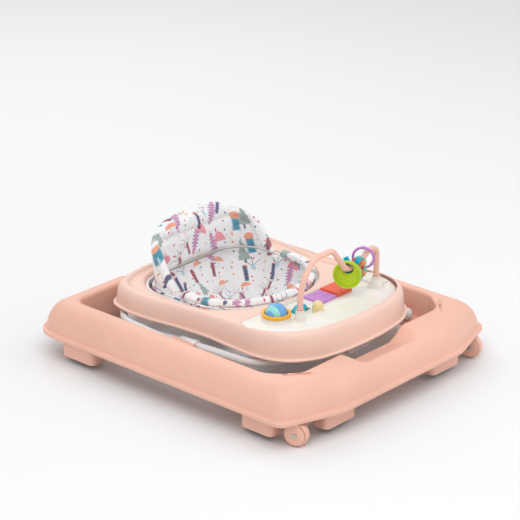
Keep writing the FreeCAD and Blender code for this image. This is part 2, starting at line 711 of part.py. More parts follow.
def toy_panel():
    """The cream panel: a bowed plate with a sunk channel, a ball cup and two bosses for the arch."""
    plate = stack([panel_outline(0, PANEL_BOTTOM), panel_outline(0, PANEL_TOP - 4),
                   panel_outline(-1.2, PANEL_TOP - 1.2), panel_outline(-4, PANEL_TOP)])
    channel_corners = [(-84, -168, 12), (150, -168, 12), (150, -95, 8), (-84, -95, 8)]
    channel = prism(rounded_outline(channel_corners, CHANNEL_FLOOR), 20)
    cup = Part.makeCone(31, 28, BALL.z - 3 - PANEL_BOTTOM - 4, Vector(BALL.x, BALL.y, PANEL_BOTTOM + 4))
    bosses = [Part.makeCone(foot, top, ARCH_FOOT_Z - PANEL_TOP + 9, Vector(x, ARCH_Y, PANEL_TOP - 9))
              for x, foot, top in FOOT_BOSSES]
    panel = plate.cut(channel).fuse([cup] + bosses)
    sockets = [Part.makeCylinder(ARCH_RADIUS, 14, Vector(x, ARCH_Y, ARCH_FOOT_Z - 12)) for x, _, _ in FOOT_BOSSES]
    ball_room = Part.makeSphere(BALL_RADIUS + 1, BALL)
    wells = [
        Part.makeCylinder(11.5, 20, Vector(BUTTON.x, BUTTON.y, PANEL_BOTTOM - 2)),
        box(ROCKER.x - ROCKER_HALF.x - 1.5, ROCKER.x + ROCKER_HALF.x + 1.5, ROCKER.y - ROCKER_HALF.y - 1.5,
            ROCKER.y + ROCKER_HALF.y + 1.5, PANEL_BOTTOM - 2, PANEL_TOP),
    ]
    for low, high, _ in KEYS.values():
        wells.append(box(low - 0.6, high + 0.6, KEY_FRONT - 0.6, KEY_REAR + 0.6, PANEL_BOTTOM - 2, PANEL_TOP))
    pin_room = rod(ROCKER - X_AXIS * 26, ROCKER + X_AXIS * 26, PIVOT_ROD)
    board_room = box(-92, 94, -162, -96, PANEL_BOTTOM - 1, PANEL_BOTTOM + 0.8)
    speaker_room = Part.makeCylinder(14.6, 6.4, Vector(SPEAKER.x, SPEAKER.y, PANEL_BOTTOM - 1))
    catch = prism(rounded_outline([(150, -178, 3), (172, -178, 3), (172, -170, 3), (150, -170, 3)], 150), 20)
    return panel.cut(sockets + [ball_room] + wells + [pin_room, board_room, speaker_room, catch]).removeSplitter()


def panel_bottom_cover():
    """The flat plate that closes the panel from below, with a hatch for the cells."""
    cover = prism(panel_outline(-3, PANEL_BOTTOM - 3), 3)
    hatch = box(96, 156, -150, -110, 130, 150)
    return cover.cut(hatch)


def battery_door():
    """The lid over the cell bay."""
    return box(96.5, 155.5, -149.5, -110.5, PANEL_BOTTOM - 3, PANEL_BOTTOM - 0.4)


def arch_bar():
    """The bead bar: up from the left foot, over a hump, down into the dip, and back down to the right."""
    route = [
        (ARCH_LEFT_X, ARCH_FOOT_Z - 11), (ARCH_LEFT_X, 200), (-84, 236), (-52, 272), (2, 272), (44, 219),
        (84, 219), (112, 242), (ARCH_RIGHT_X, 238), (ARCH_RIGHT_X, ARCH_FOOT_Z - 11),
    ]
    points = [Vector(x, ARCH_Y, z) for x, z in route]
    return tube_along(points, [60, 50, 30, 24, 26, 34, 26, 16], ARCH_RADIUS, 0)


def arch_collars():
    """The ferrules where the bar enters its bosses."""
    return Part.makeCompound([
        ring_bar(Vector(x, ARCH_Y, ARCH_FOOT_Z), Vector(x, ARCH_Y, ARCH_FOOT_Z + 5), 8.6, 7.2)
        for x in (ARCH_LEFT_X, ARCH_RIGHT_X)])


def ball_ring():
    """The bright ring pressed on the rim of the ball cup."""
    low = Vector(BALL.x, BALL.y, BALL.z - 3)
    return ring_bar(low, low + Vector(0, 0, 7), 29.5, BALL_RADIUS + 1.2)


def spin_ball():
    """The two-tone ball that spins on its own axle across the cup."""
    axle = rod(BALL - X_AXIS * (BALL_RADIUS + 0.8), BALL + X_AXIS * (BALL_RADIUS + 0.8), 1.5)
    return Part.makeSphere(BALL_RADIUS, BALL).fuse(axle)


def rocker_key():
    """A double-ended rocking key on a cross pin."""
    body = Part.makeSphere(1, Vector(0, 0, 0))
    stretch = FreeCAD.Matrix()
    stretch.scale(ROCKER_HALF)
    body = body.transformGeometry(stretch)
    body.translate(ROCKER + Vector(0, 0, 4))
    body = body.common(box(-200, 200, -300, 0, ROCKER.z - 1.5, 200))
    pin = rod(ROCKER - X_AXIS * 25, ROCKER + X_AXIS * 25, PIVOT_ROD - RUNNING_CLEARANCE)
    return body.fuse(pin)


def dome_button():
    """The clear yellow push dome."""
    stem = Part.makeCylinder(11, 16, Vector(BUTTON.x, BUTTON.y, PANEL_BOTTOM + 4.5))
    dome = Part.makeSphere(11, Vector(BUTTON.x, BUTTON.y, PANEL_BOTTOM + 20.5))
    core = Part.makeCylinder(7, 7, Vector(BUTTON.x, BUTTON.y, PANEL_BOTTOM + 4))
    return stem.fuse(dome).removeSplitter().cut(core)


def button_return_pad():
    """The hollow silicone cone that pushes the dome back up."""
    foot = Vector(BUTTON.x, BUTTON.y, PANEL_BOTTOM + 0.7)
    return Part.makeCone(6.4, 4.4, 8.6, foot).cut(Part.makeCone(5.4, 3.4, 7.4, foot))


def panel_key(name):
    """A flat sprung key standing in its own well."""
    low, high, top = KEYS[name]
    key = box(low, high, KEY_FRONT, KEY_REAR, PANEL_BOTTOM + 3.2, top)
    return key.makeChamfer(1.0, key.Faces[5].Edges)


def speaker():
    """The small loudspeaker behind the panel."""
    return Part.makeCone(8, 14, 5, SPEAKER).fuse(Part.makeCylinder(7, 3, SPEAKER)).removeSplitter()


def sound_board():
    """The circuit board under the keys."""
    return box(-90, 92, -160, -98, PANEL_BOTTOM + 0.1, PANEL_BOTTOM + 0.5)


# ---------------------------------------------------------------- toys on the bar
def bead_frame(x, z):
    """Places a toy drawn flat round the bar at (x, z), turned a little towards the front."""
    turn = FreeCAD.Rotation(Z_AXIS, BEAD_YAW).multiply(FreeCAD.Rotation(Y_AXIS, 90))
    return FreeCAD.Placement(Vector(x, ARCH_Y, z), turn)


def place_bead(shape, x, z):
    """A toy drawn in its own plane, its height along -X, moved to its place on the bar."""
    shape.Placement = bead_frame(x, z)
    return shape


BAR_HOLE = 10.5
BEADS = {
    "lime_disc": (48.2, 221.0),
    "clear_disc": (56.5, 219.0),
    "blue_cross": (63.0, 219.0),
    "orange_cross": (70.0, 219.0),
    "red_drop": (77.0, 219.0),
    "mint_leaf": (85.5, 222.0),
    "purple_ring": (97.0, 229.0),
}


def hang(distance):
    """A point that far below the bar in a toy's own plane."""
    return Vector(distance, 0, 0)


def round_bead(radius, drop, thickness, dish):
    """A disc with a hole near its top edge, dished on its left face."""
    disc = Part.makeCylinder(radius, thickness, hang(drop) - Vector(0, 0, thickness / 2))
    if dish > 0:
        disc = disc.cut(Part.makeCylinder(radius - 4, dish, hang(drop) - Vector(0, 0, thickness / 2)))
    return disc.cut(Part.makeCylinder(BAR_HOLE + 2, 40, Vector(0, 0, -20)))


def cross_bead(reach, width, turn):
    """A cross of two straps with the bar through its middle, hung slightly low."""
    strap = box(-reach, reach, -width / 2, width / 2, -2.2, 2.2)
    other = strap.copy()
    strap.rotate(Vector(0, 0, 0), Z_AXIS, turn)
    other.rotate(Vector(0, 0, 0), Z_AXIS, -turn)
    cross = strap.fuse([other, Part.makeCylinder(14, 4.4, Vector(0, 0, -2.2))])
    cross.translate(hang(3))
    return cross.cut(Part.makeCylinder(BAR_HOLE, 20, Vector(0, 0, -10))).removeSplitter()


def drop_bead(length, width, thickness):
    """A rounded drop with the bar through its narrow end."""
    blade = Part.makeCylinder(width, thickness, hang(length) - Vector(0, 0, thickness / 2))
    neck = Part.makeCylinder(14, thickness, Vector(0, 0, -thickness / 2))
    web = box(0, length, -12, 12, -thickness / 2, thickness / 2)
    drop = blade.fuse([neck, web])
    return drop.cut(Part.makeCylinder(BAR_HOLE, 20, Vector(0, 0, -10))).removeSplitter()


def knob_ring():
    """A slim ring with small knobs, threaded on the bar and leaning back on its neighbours."""
    knobs = []
    for turn in (60, 180, 300):
        out = Vector(math.cos(math.radians(turn)), math.sin(math.radians(turn)), 0)
        knobs.append(Part.makeSphere(4, out * 21, Z_AXIS.cross(out)))
    return Part.makeTorus(21, 2.6, Vector(0, 0, 0), Z_AXIS).fuse(knobs)


BEAD_SHAPES = {
    "lime_disc": lambda: round_bead(28.5, 13.5, 9.0, 4.0),
    "clear_disc": lambda: round_bead(26.0, 13.0, 3.0, 0),
    "blue_cross": lambda: cross_bead(27, 10, 32),
    "orange_cross": lambda: cross_bead(25, 9, 58),
    "red_drop": lambda: drop_bead(15, 12, 4.4),
    "mint_leaf": lambda: drop_bead(17, 15, 5.0),
    "purple_ring": knob_ring,
}


# ---------------------------------------------------------------- every part
def all_parts():
    """The name and the shape of every separate piece."""
    holes = both_sides(screw_holes())
    parts = {
        "base_shell": base_shell(),
        "side_stoppers": stoppers(SIDE_STOPS).cut(holes),
        "end_stoppers": stoppers(END_STOPS).cut(holes),
        "brake_pads": brake_pads(),
        "base_screws": base_screws(),
        "pivot_brackets": pivot_brackets(),
        "pivot_pins": pivot_pins(),
        "slide_ledges": slide_ledges(),
        "caster_sockets": caster_sockets(),
        "rear_wheel_brackets": rear_wheel_brackets(),
        "rear_axles": rear_axles(),
        "front_lift_tube": front_lift_tube(),
        "rear_lift_tube": rear_lift_tube(),
        "end_plugs": end_plugs(),
        "slide_shoes": slide_shoes(),
        "outer_hubs": outer_hubs(),
        "inner_hubs": inner_hubs(),
        "hub_pins": hub_pins(),
        "tray_top": tray_top(),
        "crossbar_saddles": crossbar_saddles(),
        "adjuster_housing": adjuster_housing(),
        "adjuster_latch": adjuster_latch(),
        "seat_rim": seat_rim(),
        "seat_bucket": seat_bucket(),
        "seat_edge_roll": seat_edge_roll(),
        "backrest_pad": backrest_pad(),
        "back_board": back_board(),
        "toy_panel": toy_panel(),
        "panel_bottom_cover": panel_bottom_cover(),
        "battery_door": battery_door(),
        "arch_bar": arch_bar(),
        "arch_collars": arch_collars(),
        "ball_ring": ball_ring(),
        "spin_ball": spin_ball(),
        "rocker_key": rocker_key(),
        "dome_button": dome_button(),
        "button_return_pad": button_return_pad(),
        "speaker": speaker(),
        "sound_board": sound_board(),
    }
    for name in KEYS:
        parts[name] = panel_key(name)
    for name, (x, z) in BEADS.items():
        parts[name] = place_bead(BEAD_SHAPES[name](), x, z)
    for name, side in SIDES:
        parts["caster_fork_" + name] = caster_fork(side)
        parts["caster_stem_" + name] = caster_stem(side)
        parts["caster_axle_" + name] = caster_axle(side)
        parts["caster_wheel_" + name] = wheel(caster_centre(side), AXLE_DIRECTION)
        parts["rear_wheel_" + name] = wheel(Vector(side * REAR_WHEEL_X, REAR_WHEEL_Y, WHEEL_RADIUS), X_AXIS)
    return parts


os.makedirs("parts", exist_ok=True)
for node, shape in all_parts().items():
    shape.exportStep("parts/" + node + ".step")
    print(node, "solids", len(shape.Solids), "valid", shape.isValid(), "volume", round(shape.Volume / 1000, 2))
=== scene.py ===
import json
import math

import bmesh
import bpy
import numpy as np
from mathutils import Matrix, Vector
from mathutils.geometry import delaunay_2d_cdt


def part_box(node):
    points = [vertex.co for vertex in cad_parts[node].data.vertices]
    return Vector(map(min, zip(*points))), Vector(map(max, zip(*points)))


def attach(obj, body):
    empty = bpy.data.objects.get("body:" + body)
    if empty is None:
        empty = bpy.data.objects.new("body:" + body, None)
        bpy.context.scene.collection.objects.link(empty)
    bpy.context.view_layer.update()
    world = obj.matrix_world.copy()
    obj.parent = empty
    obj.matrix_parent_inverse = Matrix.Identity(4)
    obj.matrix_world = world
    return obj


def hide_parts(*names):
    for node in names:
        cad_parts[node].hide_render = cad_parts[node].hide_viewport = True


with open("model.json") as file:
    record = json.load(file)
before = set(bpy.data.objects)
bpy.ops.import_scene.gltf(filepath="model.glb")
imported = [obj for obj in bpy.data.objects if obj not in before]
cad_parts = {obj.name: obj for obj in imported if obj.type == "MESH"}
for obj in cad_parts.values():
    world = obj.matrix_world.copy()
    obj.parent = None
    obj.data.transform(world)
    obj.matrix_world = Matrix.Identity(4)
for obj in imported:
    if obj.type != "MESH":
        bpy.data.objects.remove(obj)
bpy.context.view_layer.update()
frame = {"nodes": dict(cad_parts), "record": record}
body_of = {node: body for body, nodes in frame["record"]["behaviour"]["bodies"].items() for node in nodes}

# ---------------------------------------------------------------- ring base
# One injection-moulded polypropylene ring, open underneath: a flange, a quarter-round flank, a rounded
# crest and an inner wall. A hand recess is dished into the front, and raised leaf lines run up each side.
RING_SALMON = (0.87, 0.50, 0.385)
CREST = 0.116
FLANGE = 0.049
RING_WALL = 0.003
SCALLOP_STEPS = ((0.088, 0.052, -0.286), (0.102, 0.076, -0.318), (0.120, 0.096, -0.346))
LEAF_LINES = ((0.170, 0.098, 0.137), (0.125, 0.103, 0.066), (0.080, 0.103, 0.033), (-0.047, 0.098, -0.104))


def add_node(material, kind, **settings):
    """A shader node; a setting is an input when the node has one by that name, and else a property."""
    made = material.node_tree.nodes.new(kind)
    for name, value in settings.items():
        socket = made.inputs.get(name.replace("_", " "))
        if socket is None:
            setattr(made, name, value)
        else:
            socket.default_value = value
    return made


def join(material, out_socket, in_socket):
    material.node_tree.links.new(out_socket, in_socket)


def blank_material(name, colour, roughness):
    """A material with its one shader, found by both names below."""
    material = bpy.data.materials.new(name)
    material.use_nodes = True
    shader = material.node_tree.nodes["Principled BSDF"]
    shader.inputs["Base Color"].default_value = (*colour, 1)
    shader.inputs["Roughness"].default_value = roughness
    return material, shader


def moulded(name, colour, roughness=0.4, grain=900.0, relief=0.12, tone=0.06):
    """Moulded plastic: a fine spark-eroded grain, soft changes of tone, and faint rub marks in the gloss."""
    material, shader = blank_material(name, colour, roughness)
    place = add_node(material, "ShaderNodeTexCoord")
    clouds = add_node(material, "ShaderNodeTexNoise", Scale=7.0, Detail=3.0)
    join(material, place.outputs["Object"], clouds.inputs["Vector"])
    tint = add_node(material, "ShaderNodeValToRGB")
    dark = tuple(channel * (1 - tone) for channel in colour)
    light = tuple(min(1.0, channel * (1 + tone * 0.5)) for channel in colour)
    tint.color_ramp.elements[0].position = 0.3
    tint.color_ramp.elements[0].color = (*dark, 1)
    tint.color_ramp.elements[1].position = 0.7
    tint.color_ramp.elements[1].color = (*light, 1)
    join(material, clouds.outputs["Fac"], tint.inputs["Fac"])
    join(material, tint.outputs["Color"], shader.inputs["Base Color"])
    rubs = add_node(material, "ShaderNodeTexNoise", Scale=60.0, Detail=4.0, Roughness=0.7)
    join(material, place.outputs["Object"], rubs.inputs["Vector"])
    gloss = add_node(material, "ShaderNodeMapRange", From_Min=0.3, From_Max=0.75,
                     To_Min=max(0.02, roughness - 0.06), To_Max=roughness + 0.1)
    join(material, rubs.outputs["Fac"], gloss.inputs["Value"])
    join(material, gloss.outputs["Result"], shader.inputs["Roughness"])
    texture = add_node(material, "ShaderNodeTexNoise", Scale=grain, Detail=2.0)
    join(material, place.outputs["Object"], texture.inputs["Vector"])
    bump = add_node(material, "ShaderNodeBump", Strength=relief, Distance=0.0003)
    join(material, texture.outputs["Fac"], bump.inputs["Height"])
    join(material, bump.outputs["Normal"], shader.inputs["Normal"])
    return material


def rounded_loop(corners, line_cuts, arc_cuts=10):
    """Points round an outline with rounded corners, the same number of them whatever its size."""
    arcs = []
    count = len(corners)
    for index, (x, y, radius) in enumerate(corners):
        here = Vector((x, y))
        back = (Vector(corners[index - 1][:2]) - here).normalized()
        ahead = (Vector(corners[(index + 1) % count][:2]) - here).normalized()
        half = back.angle(ahead) / 2
        middle = here + (back + ahead).normalized() * (radius / math.sin(half))
        start = here + back * (radius / math.tan(half)) - middle
        turn = math.pi - 2 * half
        if back.cross(ahead) > 0:
            turn = -turn
        arcs.append([middle + Matrix.Rotation(turn * cut / arc_cuts, 2) @ start
                     for cut in range(arc_cuts + 1)])
    points = []
    for index, arc in enumerate(arcs):
        following = arcs[(index + 1) % count][0]
        cuts = line_cuts[index]
        points += arc
        points += [arc[-1].lerp(following, (cut + 1) / (cuts + 1)) for cut in range(cuts)]
    return np.array([tuple(point) for point in points])


def both_hands(corners):
    """Corners down the right side, then the same ones mirrored back up the left side."""
    return corners + [(-x, y, radius) for x, y, radius in reversed(corners)]


def ring_outline(inset):
    """The ring's outer plan at one height."""
    return both_hands([
        (0.1825 - 0.16 * inset, -0.360 + inset, 0.022),
        (0.314 - inset, -0.316 + 0.72 * inset, 0.026),
        (0.314 - inset, 0.360 - inset, max(0.057 - inset, 0.014)),
    ])


def opening_outline(grow):
    """The plan of the ring's opening, which the lift tubes and the tray stand in."""
    side = 0.252 + grow
    return both_hands([
        (side - 0.040, -0.272 - grow, 0.050 + grow),
        (side, -0.222, 0.040 + grow),
        (side, 0.293 + grow, 0.026 + grow),
    ])


def grid_faces(rows, columns, closed=True, start=0):
    """Four-sided faces over rows of points, each row closed on itself or open."""
    last = columns if closed else columns - 1
    faces = []
    for row in range(rows - 1):
        for column in range(last):
            beside = (column + 1) % columns
            low, high = start + row * columns, start + (row + 1) * columns
            faces.append((low + column, low + beside, high + beside, high + column))
    return faces


def new_piece(name, points, faces, material):
    """A smooth mesh object at the origin."""
    mesh = bpy.data.meshes.new(name)
    mesh.from_pydata([tuple(map(float, point)) for point in points], [], faces)
    mesh.shade_smooth()
    mesh.materials.append(material)
    piece = bpy.data.objects.new(name, mesh)
    bpy.context.scene.collection.objects.link(piece)
    return piece


def apply_modifiers(piece):
    """Turns a piece's live modifiers into its plain mesh."""
    bpy.context.view_layer.update()
    made = bpy.data.meshes.new_from_object(piece.evaluated_get(bpy.context.evaluated_depsgraph_get()))
    piece.modifiers.clear()
    piece.data = made


def soft_lower(a, b, blend):
    """The lower of two heights, rounded over where they cross."""
    near = np.clip(blend - np.abs(a - b), 0, None) / blend
    return np.minimum(a, b) - near * near * blend / 4


def scallop_floor(x, y):
    """Height of the dished hand recess's floor, which rises sideways and forwards."""
    heights = [step[0] for step in SCALLOP_STEPS]
    beside = np.interp(np.abs(x), [step[1] for step in SCALLOP_STEPS], heights, right=0.2)
    ahead = np.interp(-y, [-step[2] for step in SCALLOP_STEPS], heights, right=0.2)
    steep = 1 + np.clip(np.abs(x) - SCALLOP_STEPS[2][1], 0, None) * 60
    return -soft_lower(-beside * steep, -ahead, 0.012)


ring_levels = [("outer", 0.0012, 0.0490), ("outer", 0.0004, 0.0492), ("outer", 0.0, 0.0498),
               ("outer", 0.0, 0.0562), ("outer", 0.0004, 0.0568), ("outer", 0.0012, 0.0571),
               ("outer", 0.0060, 0.0575), ("outer", 0.0072, 0.0579), ("outer", 0.0080, 0.0590)]
for step in range(1, 19):
    climb = math.radians(4 + 74 * step / 18)
    ring_levels.append(("outer", 0.008 + 0.050 * (1 - math.cos(climb)), 0.0575 + 0.0585 * math.sin(climb)))
crest_inset, crest_start = ring_levels[-1][1:]
for step in range(1, 8):
    crest_rise = (CREST - crest_start) * math.sin(math.pi * step / 16)
    ring_levels.append(("crest", step / 8, crest_start + crest_rise))
ring_levels += [("inner", 0.009, 0.1159), ("inner", 0.0065, 0.1157), ("inner", 0.0042, 0.1150),
                ("inner", 0.0022, 0.1137), ("inner", 0.0009, 0.1120), ("inner", 0.0002, 0.1100),
                ("inner", 0.0, 0.1080), ("inner", 0.0, 0.1000), ("inner", 0.0, 0.0900),
                ("inner", 0.0, 0.0800), ("inner", 0.0, 0.0700), ("inner", 0.0, 0.0600),
                ("inner", 0.0, 0.0500), ("inner", 0.0004, 0.0490)]
LINE_CUTS = (16, 170, 70, 170, 16, 110)
ring_rows = []
for kind, reach, height in ring_levels:
    if kind == "outer":
        plan = rounded_loop(ring_outline(reach), LINE_CUTS)
        across = plan
    elif kind == "inner":
        plan = rounded_loop(opening_outline(reach), LINE_CUTS)
    else:
        ring_edge = rounded_loop(ring_outline(crest_inset), LINE_CUTS)
        plan = ring_edge * (1 - reach) + rounded_loop(opening_outline(0.009), LINE_CUTS) * reach
    rows_height = np.full(len(plan), height)
    lowest = scallop_floor(plan[:, 0], plan[:, 1])
    if kind == "inner":
        top = soft_lower(np.full(len(plan), CREST), lowest, 0.008)
        rows_height = FLANGE + (rows_height - FLANGE) * (top - FLANGE) / (CREST - FLANGE)
    elif height > 0.0600:
        rows_height = soft_lower(rows_height, lowest, 0.008)
    if kind == "outer" and height > 0.0590:
        for top_y, top_z, foot_y in LEAF_LINES:
            rise = np.clip((height - 0.058) / (top_z - 0.058), 0, 1.25)
            line = foot_y + (top_y - foot_y) * rise ** 0.8
            beyond = plan[:, 1] - line
            flank = (np.abs(plan[:, 0]) > 0.25) & (np.abs(plan[:, 1]) < 0.26)
            fade = np.clip((top_z + 0.010 - height) / 0.020, 0, 1)
            step_up = 0.0013 * fade / (1 + np.exp(beyond / 0.0009)) * np.exp(np.clip(beyond, None, 0) / 0.022)
            plan = plan + np.stack([np.sign(plan[:, 0]) * step_up * flank, np.zeros(len(plan))], axis=1)
    ring_rows.append(np.column_stack([plan, rows_height]))
ring_material = moulded("ring_plastic", RING_SALMON, roughness=0.42)
ring_columns = len(ring_rows[0])
ring = new_piece("ring_shell", np.concatenate(ring_rows), grid_faces(len(ring_rows), ring_columns),
                 ring_material)
ring_wall = ring.modifiers.new("wall", "SOLIDIFY")
ring_wall.thickness = RING_WALL
ring_wall.offset = -1
apply_modifiers(ring)
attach(ring, "base")
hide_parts("base_shell")

# ---------------------------------------------------------------- friction stops
# Eight moulded blocks hang from the ring where it crosses a step: their rubber pads catch the floor when a
# wheel drops over an edge. Each block is screwed up into the hollow ring, and each pad is pressed in.
RUBBER_GREY = (0.045, 0.045, 0.048)
MERGE_DISTANCE = 2e-6
FLAT_ANGLE = math.radians(0.8)


def merged_copy(node, name, material, flat_angle=0.0):
    """A new piece from a CAD part's own mesh, with its loose triangles joined up, and its flats made whole."""
    mesh = frame["nodes"][node].data.copy()
    mesh.materials.clear()
    mesh.materials.append(material)
    piece = bpy.data.objects.new(name, mesh)
    bpy.context.scene.collection.objects.link(piece)
    shape = bmesh.new()
    shape.from_mesh(mesh)
    bmesh.ops.remove_doubles(shape, verts=shape.verts, dist=MERGE_DISTANCE)
    if flat_angle:
        bmesh.ops.dissolve_limit(shape, angle_limit=flat_angle, verts=shape.verts, edges=shape.edges)
        for face in shape.faces:
            face.material_index = 0
            face.smooth = True
    shape.to_mesh(mesh)
    shape.free()
    return piece


def stand_for(piece, node):
    """Hangs a piece on its part's body, in the part's place, and hides the part."""
    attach(piece, body_of[node])
    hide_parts(node)


def finished(node, material, edge=0.0, smooth_angle=35):
    """A CAD part's copy with its edges rounded and its shading smooth, standing for that part."""
    piece = merged_copy(node, node + "_finished", material, FLAT_ANGLE)
    if edge:
        bevel = piece.modifiers.new("edges", "BEVEL")
        bevel.width = edge
        bevel.segments = 3
        bevel.limit_method = "ANGLE"
        bevel.angle_limit = math.radians(30)
        bevel.harden_normals = True
    else:
        piece.data.set_sharp_from_angle(angle=math.radians(smooth_angle))
    stand_for(piece, node)
    return piece


def rubber(name, colour):
    """Moulded rubber: dark, matt and faintly bloomed."""
    return moulded(name, colour, roughness=0.78, grain=500.0, relief=0.3, tone=0.25)


stop_plastic = moulded("stop_plastic", RING_SALMON, roughness=0.45)
pad_rubber = rubber("pad_rubber", RUBBER_GREY)
finished("side_stoppers", stop_plastic, edge=0.0016)
finished("end_stoppers", stop_plastic, edge=0.0016)
finished("brake_pads", pad_rubber, edge=0.0008)
finished("slide_ledges", stop_plastic, edge=0.0008)
finished("caster_sockets", stop_plastic, edge=0.0006)
finished("rear_wheel_brackets", stop_plastic, edge=0.0008)

# ---------------------------------------------------------------- lift tubes
# Two U-bent steel tubes, powder-coated white, cross at riveted hubs like scissors. The rear one carries the
# tray's back on its crossbar; the front one carries the front. Moulded collars, shoes and plugs fit on them.
POWDER_WHITE = (0.80, 0.82, 0.83)
MOULDED_WHITE = (0.84, 0.85, 0.84)
ZINC = (0.56, 0.57, 0.58)


def metal(name, colour, roughness):
    """Plated steel with fine drawn lines and a little dulling."""
    material = moulded(name, colour, roughness=roughness, grain=300.0, relief=0.08, tone=0.12)
    material.node_tree.nodes["Principled BSDF"].inputs["Metallic"].default_value = 1.0
    return material


powder_coat = moulded("powder_coat", POWDER_WHITE, roughness=0.3, grain=650.0, relief=0.22, tone=0.03)
powder_coat.node_tree.nodes["Principled BSDF"].inputs["Coat Weight"].default_value = 0.25
white_plastic = moulded("white_plastic", MOULDED_WHITE, roughness=0.32, tone=0.03)
steel = metal("zinc_steel", ZINC, 0.3)
finished("front_lift_tube", powder_coat)
finished("rear_lift_tube", powder_coat)
finished("outer_hubs", stop_plastic)
for node in ("end_plugs", "slide_shoes", "inner_hubs"):
    finished(node, white_plastic, edge=0.0007)
for node in ("hub_pins", "pivot_pins", "rear_axles", "base_screws"):
    finished(node, steel, edge=0.0003)
finished("pivot_brackets", stop_plastic, edge=0.0008)
finished("crossbar_saddles", white_plastic, edge=0.0008)
finished("adjuster_housing", white_plastic, edge=0.0015)
finished("adjuster_latch", white_plastic, edge=0.0012)

# ---------------------------------------------------------------- casters and wheels
# Each front wheel turns on a riveted steel axle in a swivelling fork with round covers; the two rear wheels
# run in fixed cheeks. The tyres are moulded with fine ribs across the tread.
wheel_plastic = moulded("wheel_plastic", RING_SALMON, roughness=0.36, grain=400.0, relief=0.2, tone=0.1)
for side in ("left", "right"):
    finished("caster_fork_" + side, stop_plastic, edge=0.0012)
    finished("caster_stem_" + side, steel, edge=0.0003)
    finished("caster_axle_" + side, steel, edge=0.0004)
    finished("caster_wheel_" + side, wheel_plastic, edge=0.0012)
    finished("rear_wheel_" + side, wheel_plastic, edge=0.0012)

# ---------------------------------------------------------------- tray
# The tray is a second moulding in a paler pink: a lipped skirt, a rounded rim that dips at the sides, a
# deck inside it, an oval mouth for the seat and a pocket that the toy panel drops into.
TRAY_PINK = (0.90, 0.62, 0.515)
SEAT_Y = 0.062
TRAY_PLAN = ((0, -0.268), (0.072, -0.264), (0.132, -0.251), (0.181, -0.216), (0.203, -0.160), (0.203, -0.095),
             (0.199, -0.018), (0.205, 0.060), (0.215, 0.130), (0.215, 0.190), (0.197, 0.240), (0.140, 0.262),
             (0.070, 0.267), (0, 0.268))
RIM_LINE = ((-0.290, 0.165), (-0.200, 0.164), (-0.100, 0.159), (0.020, 0.152), (0.140, 0.152), (0.230, 0.155),
            (0.290, 0.157))
SKIRT_CUTS = 12


def smooth_through(points, cuts):
    """Points on the closed smooth curve through some others, with that many cuts between each two."""
    given = np.array(points)
    count = len(given)
    out = []
    for index in range(count):
        p0, p1, p2, p3 = (given[(index + shift) % count] for shift in (-1, 0, 1, 2))
        for cut in range(cuts):
            t = cut / cuts
            out.append(0.5 * (2 * p1 + (p2 - p0) * t + (2 * p0 - 5 * p1 + 4 * p2 - p3) * t ** 2
                              + (3 * p1 - p0 - 3 * p2 + p3) * t ** 3))
    return np.array(out)


tray_right = list(TRAY_PLAN)
tray_curve = smooth_through(tray_right + [(-x, y) for x, y in reversed(tray_right[1:-1])], SKIRT_CUTS)


def tray_loop(grow):
    """The tray's plan, a little larger or smaller all round."""
    return tray_curve * np.array([1 + grow / 0.216, 1 + grow / 0.268])


def rim_height(y):
    """Height of the tray's rim line, eased between its given points."""
    given_y, given_z = zip(*RIM_LINE)
    fine_y = np.linspace(given_y[0], given_y[-1], 120)
    fine_z = np.interp(fine_y, given_y, given_z)
    kernel = np.hanning(25) / np.hanning(25).sum()
    eased = np.convolve(np.pad(fine_z, 12, mode="edge"), kernel, mode="valid")
    return np.interp(y, fine_y, eased)


SEAT_REAR = 0.226
SEAT_CORNER = 0.080


def seat_loop(grow, oval_cuts=90, side_cuts=14, corner_cuts=18, rear_cuts=24):
    """The seat's plan: half an oval in front, straight sides, and rounded corners at the rear."""
    side, back, corner = 0.165 + grow, SEAT_REAR + grow, SEAT_CORNER + grow
    points = []
    for cut in range(oval_cuts):
        turn = math.pi * (1 + cut / oval_cuts)
        points.append((side * math.cos(turn), SEAT_Y + (0.141 + grow) * math.sin(turn)))
    points += [(side, SEAT_Y + (back - corner - SEAT_Y) * cut / side_cuts) for cut in range(side_cuts)]
    for cut in range(corner_cuts):
        turn = math.pi / 2 * cut / corner_cuts
        points.append((side - corner + corner * math.cos(turn), back - corner + corner * math.sin(turn)))
    points += [(side - corner - 2 * (side - corner) * cut / rear_cuts, back) for cut in range(rear_cuts)]
    for cut in range(corner_cuts):
        turn = math.pi / 2 * (1 + cut / corner_cuts)
        points.append((corner - side + corner * math.cos(turn), back - corner + corner * math.sin(turn)))
    points += [(-side, back - corner + (SEAT_Y - back + corner) * cut / side_cuts)
               for cut in range(side_cuts)]
    return np.array(points)


MOUTH_CUTS = len(seat_loop(0))


def arc_through(first, middle, last, cuts):
    """Points on the arc through three others, without the last."""
    a, b, c = Vector(first), Vector(middle), Vector(last)
    d = 2 * (a.x * (b.y - c.y) + b.x * (c.y - a.y) + c.x * (a.y - b.y))
    centre = Vector((
        (a.dot(a) * (b.y - c.y) + b.dot(b) * (c.y - a.y) + c.dot(c) * (a.y - b.y)) / d,
        (a.dot(a) * (c.x - b.x) + b.dot(b) * (a.x - c.x) + c.dot(c) * (b.x - a.x)) / d))
    begin = a - centre
    turn = math.atan2(begin.cross(c - centre), begin.dot(c - centre))
    if begin.cross(b - centre) * turn < 0:
        turn -= math.copysign(2 * math.pi, turn)
    return [tuple(centre + Matrix.Rotation(turn * cut / cuts, 2) @ begin) for cut in range(cuts)]


